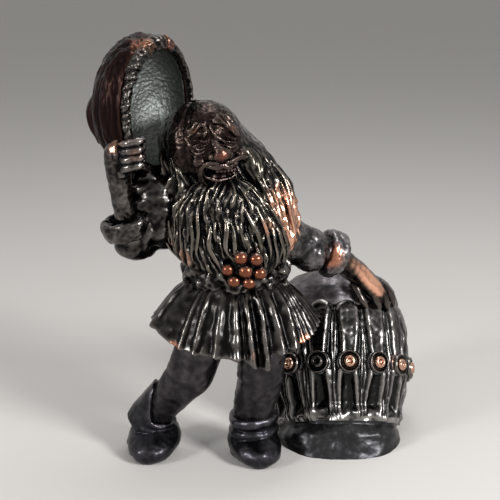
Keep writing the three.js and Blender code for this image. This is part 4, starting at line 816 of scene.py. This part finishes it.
# Head
# A heavy-browed head tipped to one side, cast whole, its face carved in the wax: bushy drooping brows, sunk
# eyes with bags under them, a bulb of a nose rubbed to copper and an open laughing mouth with a row of teeth.
HEAD_CENTRE = np.array((-11.6, 7.0, 97.4))
HEAD_HALF = np.array((10.4, 11.4, 12.6))
FACE_TURN = math.radians(17)
HEAD_TILT = math.radians(-14)
FACE_ROLL = math.radians(11)
HEAD_GRAIN = 0.2
TOOTH_GRAIN = 0.15
turn_c, turn_s = math.cos(FACE_TURN), math.sin(FACE_TURN)
tilt_c, tilt_s = math.cos(HEAD_TILT), math.sin(HEAD_TILT)
roll_c, roll_s = math.cos(FACE_ROLL), math.sin(FACE_ROLL)
head_turn = np.array([[turn_c, -turn_s, 0], [turn_s, turn_c, 0], [0, 0, 1]])
head_turn = head_turn @ np.array([[tilt_c, 0, tilt_s], [0, 1, 0], [-tilt_s, 0, tilt_c]])


def face(x, z, lift=0.0):
    """A place on the face: across and up from its middle, lifted off the skull."""
    x, z = roll_c * x + roll_s * z, roll_c * z - roll_s * x
    share = max(0.05, 1 - (x / HEAD_HALF[0]) ** 2 - (z / HEAD_HALF[2]) ** 2)
    return np.array((x, -HEAD_HALF[1] * math.sqrt(share) - lift, z))


def roll(path, sides=16, steps=36):
    """A rolled strip of flesh or hair over the face, from [across, up, lift, radius] rows."""
    return tube([[*face(x, z, lift), radius, radius] for x, z, lift, radius in path], sides, steps)


def on_head(shell):
    return shell[0] @ head_turn.T + HEAD_CENTRE, shell[1]


# Bushy brows: each a line of [across, up] places, its half width and the way its hairs are combed
BROWS = (
    ([(-3.7, 7.0), (-5.3, 6.7), (-6.6, 5.6), (-7.7, 3.9)], 1.0, (-0.71, -0.71)),
    ([(-0.7, 7.6), (1.2, 8.0), (3.4, 6.6), (5.6, 3.4)], 1.65, (0.62, -0.78)),
)
# The lids and bags of the eyes, two frown folds that climb from the root of the nose, and both lips
FOLDS = [
    [[-7.1, 1.2, 0.1, 0.3], [-5.6, 2.2, 0.5, 0.45], [-4.0, 1.6, 0.2, 0.3]],
    [[-7.0, 0.9, 0.0, 0.25], [-5.6, 0.5, 0.3, 0.35], [-4.2, 1.0, 0.1, 0.25]],
    [[-7.4, 0.1, 0.0, 0.3], [-6.0, -0.7, 0.5, 0.45], [-4.4, -0.2, 0.2, 0.3]],
    [[-7.6, -0.8, 0.0, 0.3], [-6.1, -1.7, 0.4, 0.5], [-4.2, -1.4, 0.1, 0.3]],
    [[1.5, 2.4, 0.2, 0.35], [3.2, 2.2, 0.6, 0.5], [5.4, 1.4, 0.2, 0.35]],
    [[1.6, 1.2, 0.1, 0.3], [3.2, 0.5, 0.5, 0.45], [5.4, 0.7, 0.2, 0.3]],
    [[2.0, 0.0, 0.1, 0.3], [3.6, -0.6, 0.4, 0.5], [5.8, -0.1, 0.1, 0.3]],
    [[-3.2, 7.9, 0.2, 0.35], [-3.5, 5.4, 0.6, 0.6], [-4.5, 3.2, 0.4, 0.4]],
    [[-2.1, 6.9, 0.2, 0.35], [-1.0, 4.2, 0.6, 0.6], [1.8, 2.1, 0.4, 0.45]],
    [[-4.3, -4.1, 0.3, 0.9], [-1.8, -4.7, 0.8, 1.2], [0.3, -4.3, 0.9, 1.1], [2.0, -4.9, 0.8, 1.2]]
    + [[5.0, -4.2, 0.3, 0.9]],
    [[-4.4, -6.8, 0.0, 0.35], [-2.6, -8.4, 0.4, 0.55], [0.6, -9.2, 0.5, 0.7], [3.7, -9.0, 0.5, 0.6]]
    + [[5.9, -7.4, 0.1, 0.35]],
]
NOSE_RIDGE = [[-1.9, 3.2, -0.2, 0.9], [-1.3, 1.6, 0.8, 1.3], [-0.6, 0.2, 1.6, 1.7], [-0.1, -0.9, 1.8, 1.8]]
features = [ball((0, 0, 0), HEAD_HALF, 40)] + [roll(fold) for fold in FOLDS]
# Eyeballs and cheeks, then a wedge of a nose with a heavy bulb and wide wings
features += [ball(face(-5.5, 1.4, -0.7), (1.2, 0.9, 0.6)), ball(face(3.2, 1.4, -0.6), (1.3, 0.9, 0.6))]
features += [ball(face(-5.2, -3.0, -1.0), (2.4, 2.2, 1.8)), ball(face(6.4, -2.2, -0.8), (2.2, 2.1, 1.7))]
features += [roll(NOSE_RIDGE), ball(face(-0.1, -0.9, 1.6), (2.6, 2.1, 2.0))]
features += [ball(face(x, -1.6, 0.7), (1.4, 1.4, 1.2)) for x in (-2.3, 2.3)]


def carve_face(points, normals):
    """The brows, the hollows of mouth, eyes and cheek, and the unevenness of old skin."""
    local = (points - HEAD_CENTRE) @ head_turn
    x, z = roll_c * local[:, 0] - roll_s * local[:, 2], roll_s * local[:, 0] + roll_c * local[:, 2]
    in_front = local[:, 1] < -3
    smile = np.interp(x, [-4.5, -2.4, 0.1, 3.2, 5.8], [-5.9, -6.5, -7.1, -7.2, -6.4])
    mouth = smoothstep(-4.9, -3.6, x) * smoothstep(6.2, 4.8, x) * np.exp(-(((z - smile) / 1.0) ** 4))
    under_brow = np.exp(-(((x + 5.6) / 2.2) ** 2) - ((z - 3.0) / 1.1) ** 2)
    under_brow = under_brow + np.exp(-(((x - 3.4) / 2.6) ** 2) - ((z - 3.4 + 0.35 * x - 1.2) / 1.1) ** 2)
    cheek = np.exp(-(((x - 7.2) / 1.4) ** 2) - ((z + 6.0) / 1.8) ** 2)
    brows = 0
    for line, wide, comb in BROWS:
        path = spline(line, 25)
        far = np.hypot(x[:, None] - path[:, 0], z[:, None] - path[:, 1])
        half = wide * np.interp(far.argmin(1), [0, 8, 16, 24], [0.5, 1, 0.9, 0.35])
        hairs = np.abs(np.sin((x * comb[1] - z * comb[0]) * math.pi / 1.2 + 0.6 * np.sin(1.7 * x)))
        brows = brows + smoothstep(1.1, 0.6, far.min(1) / half) * (0.45 * wide + 0.55 * hairs)
    uneven = lumps(points, 1.8, 0.2) + lumps(points, 0.8, 0.12)
    return uneven + in_front * (brows - 2.4 * mouth - 1.0 * under_brow - 1.2 * cheek)


face_metal = antiqued_copper("carved face", "#221b19", "#544945", "#70463a", shine=0.27, relief=0.09)
# The nose and both brows are rubbed: [across, up, lift, radius, strength]
FACE_RUBS = [(-0.1, -1.2, 3.4, 2.6, 0.6), (-6.4, 5.4, 1.2, 1.8, 0.5), (4.4, 5.4, 1.2, 1.5, 0.4)]
face_rubs = [[*carried(on_head, face(x, z, lift)), *rub] for x, z, lift, *rub in FACE_RUBS]
# The temple swells to meet the hair, so that no gap shows between them
temple = ball((-17.0, 8.0, 97.5), (7.6, 9.4, 11.5), 30)
head_parts = [on_head(part) for part in features] + [temple]
cast("carved_head", ["head"], face_metal, head_parts, HEAD_GRAIN, 2, carve_face, face_rubs)
teeth = [ball(face(-0.6 + k * 1.1, -6.2 - 0.12 * k, -0.8), (0.55, 0.7, 0.75), 10) for k in range(6)]
cast("tooth_row", [], face_metal, [on_head(tooth) for tooth in teeth], TOOTH_GRAIN, 2)

# Hair and beard
# Two bells of long wavy locks, a casting each. The hair is a smooth, pitted hood over the crown and hangs
# round the shoulders to the sash; the beard starts under the lip. Both were combed in the wax, with loose
# locks laid over them as tapering rolls.
HAIR_LOCKS = 26
HAIR_END = 62.6  # the lowest that a loose lock hangs
HAIR_GRAIN = 0.265
BEARD_LOCKS = 16
BEARD_END = 60.2
BEARD_GRAIN = 0.24
COMB_RADIUS = 16  # mm, the girth at which the strands are spaced
FACE_FROM = 82  # heights between which the hair leaves the face free
FACE_TO = 100
# height, middle x, middle y, half width and half depth
hair_bell = [[109.6, -13.6, 10.0, 1.6, 2.5], [107.8, -13.5, 10.5, 5.7, 6.4], [104.9, -14.3, 11.0, 9.4, 9.4]]
hair_bell += [[100.2, -13.4, 11.0, 13.0, 11.8], [95.0, -10.8, 10.8, 15.6, 12.8]]
hair_bell += [[91.4, -9.4, 10.5, 16.6, 13.0], [86.9, -7.6, 10.2, 17.8, 12.9], [81.0, -6.6, 9.8, 19.2, 12.8]]
hair_bell += [[76.0, -6.0, 9.5, 19.8, 12.8], [71.0, -5.7, 9.0, 20.0, 12.5], [68.0, -5.4, 8.8, 19.2, 12.2]]
hair_bell = spline(hair_bell + [[65.0, -5.4, 8.6, 17.2, 11.6], [62.4, -5.2, 8.5, 15.0, 10.8]], 240)[::-1]
beard_bell = [[88.6, -7.4, 1.8, 5.0, 2.4], [86.2, -7.4, 1.4, 9.2, 5.0], [82.8, -7.2, 1.7, 12.2, 7.0]]
beard_bell += [[79.4, -6.9, 2.2, 14.2, 8.2], [72.0, -5.9, 2.4, 15.9, 9.0], [67.0, -5.1, 2.6, 16.2, 9.0]]
beard_bell = spline(beard_bell + [[62.5, -4.5, 2.8, 13.6, 7.9], [59.2, -4.0, 2.8, 8.8, 5.8]], 240)[::-1]


def on_bell(bell, z, angle, lift):
    x, y, wide, deep = [np.interp(z, bell[:, 0], bell[:, k]) for k in range(1, 5)]
    return np.stack([x + (wide + lift) * np.cos(angle), y + (deep + lift) * np.sin(angle), z + 0 * angle], -1)


def combed(bell, smooth_from, ragged, seed, parted=0.0):
    """A bell of combed hair: wavy locks with sharp gaps and finer strands on them, smooth above `smooth_from`
    and drawn back from the face by `parted` mm."""
    low = bell[0, 0]
    z, angle = np.meshgrid(np.linspace(low, bell[-1, 0], 280), turns(1000), indexing="ij")
    swung = angle + 0.08 * np.sin(z / 5.5 + 3 * angle + seed) + 0.04 * np.sin(z / 2.9 + 5 * angle)
    flow = polar(COMB_RADIUS, swung, z * 0.13)
    locks = 1.9 * np.abs(lumps(flow, 2.4, 1.0, seed)) ** 0.8 - 0.7
    strands = 1.6 * np.abs(lumps(flow * (1, 1, 1.3), 1.0, 1.0, seed + 9)) - 0.4
    broken = lumps(polar(COMB_RADIUS, swung, z * 0.6), 1.2, 0.55, seed + 2)
    drawn = smoothstep(smooth_from + 5, smooth_from - 5, z)
    bare = on_bell(bell, z, angle, 0.0)
    pitted = lumps(bare, 1.5, 0.3, seed) + lumps(bare, 0.8, 0.22, seed)
    lift = drawn * (1.1 * locks + 0.85 * strands + broken) + (1 - drawn) * pitted
    in_face = smoothstep(0.7, 0.92, -np.sin(angle)) * smoothstep(FACE_FROM, FACE_FROM + 5, z)
    lift = lift - parted * in_face * smoothstep(FACE_TO, FACE_TO - 5, z)
    ends = ragged * lumps(polar(COMB_RADIUS, swung, 0 * z), 2.4, 1.0, seed + 4)
    return skin(on_bell(bell, z + ends * smoothstep(low + 8, low, z), angle, lift))


def lock(bell, angle, top, end, width, proud):
    """One loose lock on a bell, flat and bent like an S, its root sunk and its end pointed."""
    s = np.linspace(0, 1, 14)
    z = top + (end - top) * s
    wave = draw.uniform(0.02, 0.06) * np.sin(TAU * (draw.uniform(0.7, 1.2) * s + draw.uniform()))
    drift = draw.uniform(-0.1, 0.1) * s
    wide = width * np.interp(s, [0, 0.25, 0.7, 1], [0.3, 1, 0.9, 0.15]) * draw.uniform(0.85, 1.15)
    rise = proud * np.interp(s, [0, 0.3, 0.8, 1], [-1.5, 1, 1, 0.4])
    rows = np.column_stack([on_bell(bell, z, angle + wave + drift, rise), wide, wide * 0.6])
    return tube(rows, 12, 56, (-math.sin(angle), math.cos(angle), 0))


hair_parts = [combed(hair_bell, 95, 1.6, 2.0, 4.0)]
for k in range(HAIR_LOCKS):
    angle = k / HAIR_LOCKS * TAU + draw.uniform(-0.1, 0.1)
    in_face = max(0.0, -math.sin(angle)) ** 3
    top = 93.0 + 2.0 * math.cos(angle) - 7.0 * in_face - draw.uniform(0, 12)
    if in_face > 0.4:
        top = min(top, FACE_FROM)
    hair_parts.append(lock(hair_bell, angle, top, max(HAIR_END, top - draw.uniform(14, 24)), 0.8, 0.3))
hair_metal = antiqued_copper("flowing hair", "#171616", "#777068", "#cb9c85")
hair_rubs = [[13.5, 5.0, 75.0, 7.5, 1.3], [13.0, 3.0, 69.0, 6.0, 1.2], [10.5, 1.5, 82.0, 6.0, 1.0]]
hair_rubs += [[6.5, -1.0, 88.0, 4.0, 0.4], [-22.5, -1.0, 68.0, 4.0, 0.5]]
cast("hair_locks", ["hair"], hair_metal, hair_parts, HAIR_GRAIN, 1, handled=hair_rubs)
beard_parts = [combed(beard_bell, 92, 0.5, 5.0)]
for k in range(BEARD_LOCKS):
    angle = math.pi * (1.0 + k / (BEARD_LOCKS - 1)) + draw.uniform(-0.06, 0.06)
    top = draw.uniform(74.0, 85.5)
    beard_parts.append(lock(beard_bell, angle, top, max(BEARD_END, top - draw.uniform(12, 20)), 0.75, 0.25))
beard_rubs = [[-19.0, -3.0, 66.0, 3.5, 0.6], [6.0, -5.0, 76.0, 3.5, 0.7], [2.0, -6.0, 70.0, 3.5, 0.35]]
cast("beard_locks", ["beard"], hair_metal, beard_parts, BEARD_GRAIN, 1, handled=beard_rubs)

# Moustache
# Two slim twisted curls that spring from under the nose, sweep round the cheeks and hook down beside the
# mouth. Each is a small casting in the same dark metal, soldered to the face.
CURL_GRAIN = 0.18
# Rows of [across, up, lift, radius] on the face
right_curl = [[-1.0, -3.5, 1.2, 0.5], [-3.0, -3.2, 1.4, 0.8], [-4.8, -3.9, 1.4, 0.85]]
right_curl += [[-5.5, -5.7, 1.4, 0.75], [-5.3, -7.9, 1.6, 0.65], [-4.2, -10.0, 2.4, 0.5]]
right_curl += [[-2.4, -11.4, 3.2, 0.25]]
left_curl = [[1.4, -3.5, 1.2, 0.5], [3.5, -3.3, 1.4, 0.8], [5.9, -2.8, 1.5, 0.9], [8.0, -3.6, 1.9, 0.8]]
left_curl += [[8.9, -5.3, 2.3, 0.7], [8.9, -7.3, 2.8, 0.5], [8.2, -8.8, 3.2, 0.25]]
for side, curl in (("right", right_curl), ("left", left_curl)):
    strands = [on_head(roll([[x, z, h, w * 0.7] for x, z, h, w in curl], 18, 50))]
    for k in range(4):
        swirl = lambda i: 0.4 * math.sin(k * 1.6 + i * 1.3)
        thread = [[x + swirl(i), z + swirl(i + 1), h + 0.3, w * 0.4] for i, (x, z, h, w) in enumerate(curl)]
        strands.append(on_head(roll(thread, 10, 50)))
    cast(f"{side}_moustache_curl", [f"{side}_moustache"], face_metal, strands, CURL_GRAIN, 2)

# Studio
# A plain pale floor that the figure stands on, soft boxes overhead and at both sides, and a camera as far off
# and as high as the photograph's.
FLOOR_HALF = 6  # m
LENS = 86.4  # mm, on a sensor 36 mm wide
CAMERA_BACK = 0.331385  # m, in front of the drawing's origin
CAMERA_HEIGHT = 0.160211
CAMERA_DOWN = math.radians(15.598)
LIT_POINT = Vector((0, 0, 0.06))
# Each soft box: place and width in metres, and watts
SOFT_BOXES = {
    "window_box": ((0.36, -0.36, 0.3), 0.14, 3.2),
    "fill_box": ((-0.42, -0.3, 0.24), 0.12, 1.4),
    "top_box": ((0.05, 0.1, 0.5), 0.2, 0.7),
}
scene = bpy.context.scene
corners = [(x * FLOOR_HALF, y * FLOOR_HALF, 0) for x, y in ((-1, -1), (1, -1), (1, 1), (-1, 1))]
floor_mesh = bpy.data.meshes.new("studio_floor")
floor_mesh.from_pydata(corners, [], [(0, 1, 2, 3)])
floor = put("studio_floor", floor_mesh)
# Matt paint: pale grey, with no glint
floor_paint, tree = material("matt studio floor")
matt = add(tree, "BsdfPrincipled", {"Base Color": linear("#cfccc8"), "Roughness": 0.9})
add(tree, "OutputMaterial", {"Surface": matt}, None)
floor_mesh.materials.append(floor_paint)
world = bpy.data.worlds.new("pale studio")
scene.world = world
world.use_nodes = True
sky = world.node_tree
sky.nodes.clear()
# The eye and the metal see the pale backdrop; the light that it gives is weaker
ray = add(sky, "LightPath", out=None)
seen = add(sky, "Math", {0: ray["Is Camera Ray"], 1: ray["Is Glossy Ray"]}, operation="MAXIMUM")
seen = add(sky, "Math", {0: seen, 1: ray["Is Transmission Ray"]}, operation="MAXIMUM")
ambient = add(sky, "Background", {"Color": linear("#ffffff"), "Strength": 0.3})
backdrop = add(sky, "Background", {"Color": linear("#e4e1dd"), "Strength": 1.0})
add(sky, "OutputWorld", {"Surface": add(sky, "MixShader", {0: seen, 1: ambient, 2: backdrop})}, None)
for name, (at, size, watts) in SOFT_BOXES.items():
    lamp = bpy.data.lights.new(name, "AREA")
    lamp.size = size
    lamp.energy = watts
    holder = put(name, lamp)
    holder.location = at
    holder.rotation_euler = (LIT_POINT - Vector(at)).to_track_quat("-Z", "Y").to_euler()
lens = bpy.data.cameras.new("photograph_lens")
lens.sensor_width = 36.0
lens.lens = LENS
lens.clip_start = 0.01
camera = put("photograph_camera", lens)
camera.location = (FIGURE_SHIFT[0] * MM, -CAMERA_BACK + FIGURE_SHIFT[1] * MM, CAMERA_HEIGHT)
camera.rotation_euler = (math.pi / 2 - CAMERA_DOWN, 0, 0)
scene.camera = camera
scene.view_settings.view_transform = "Standard"
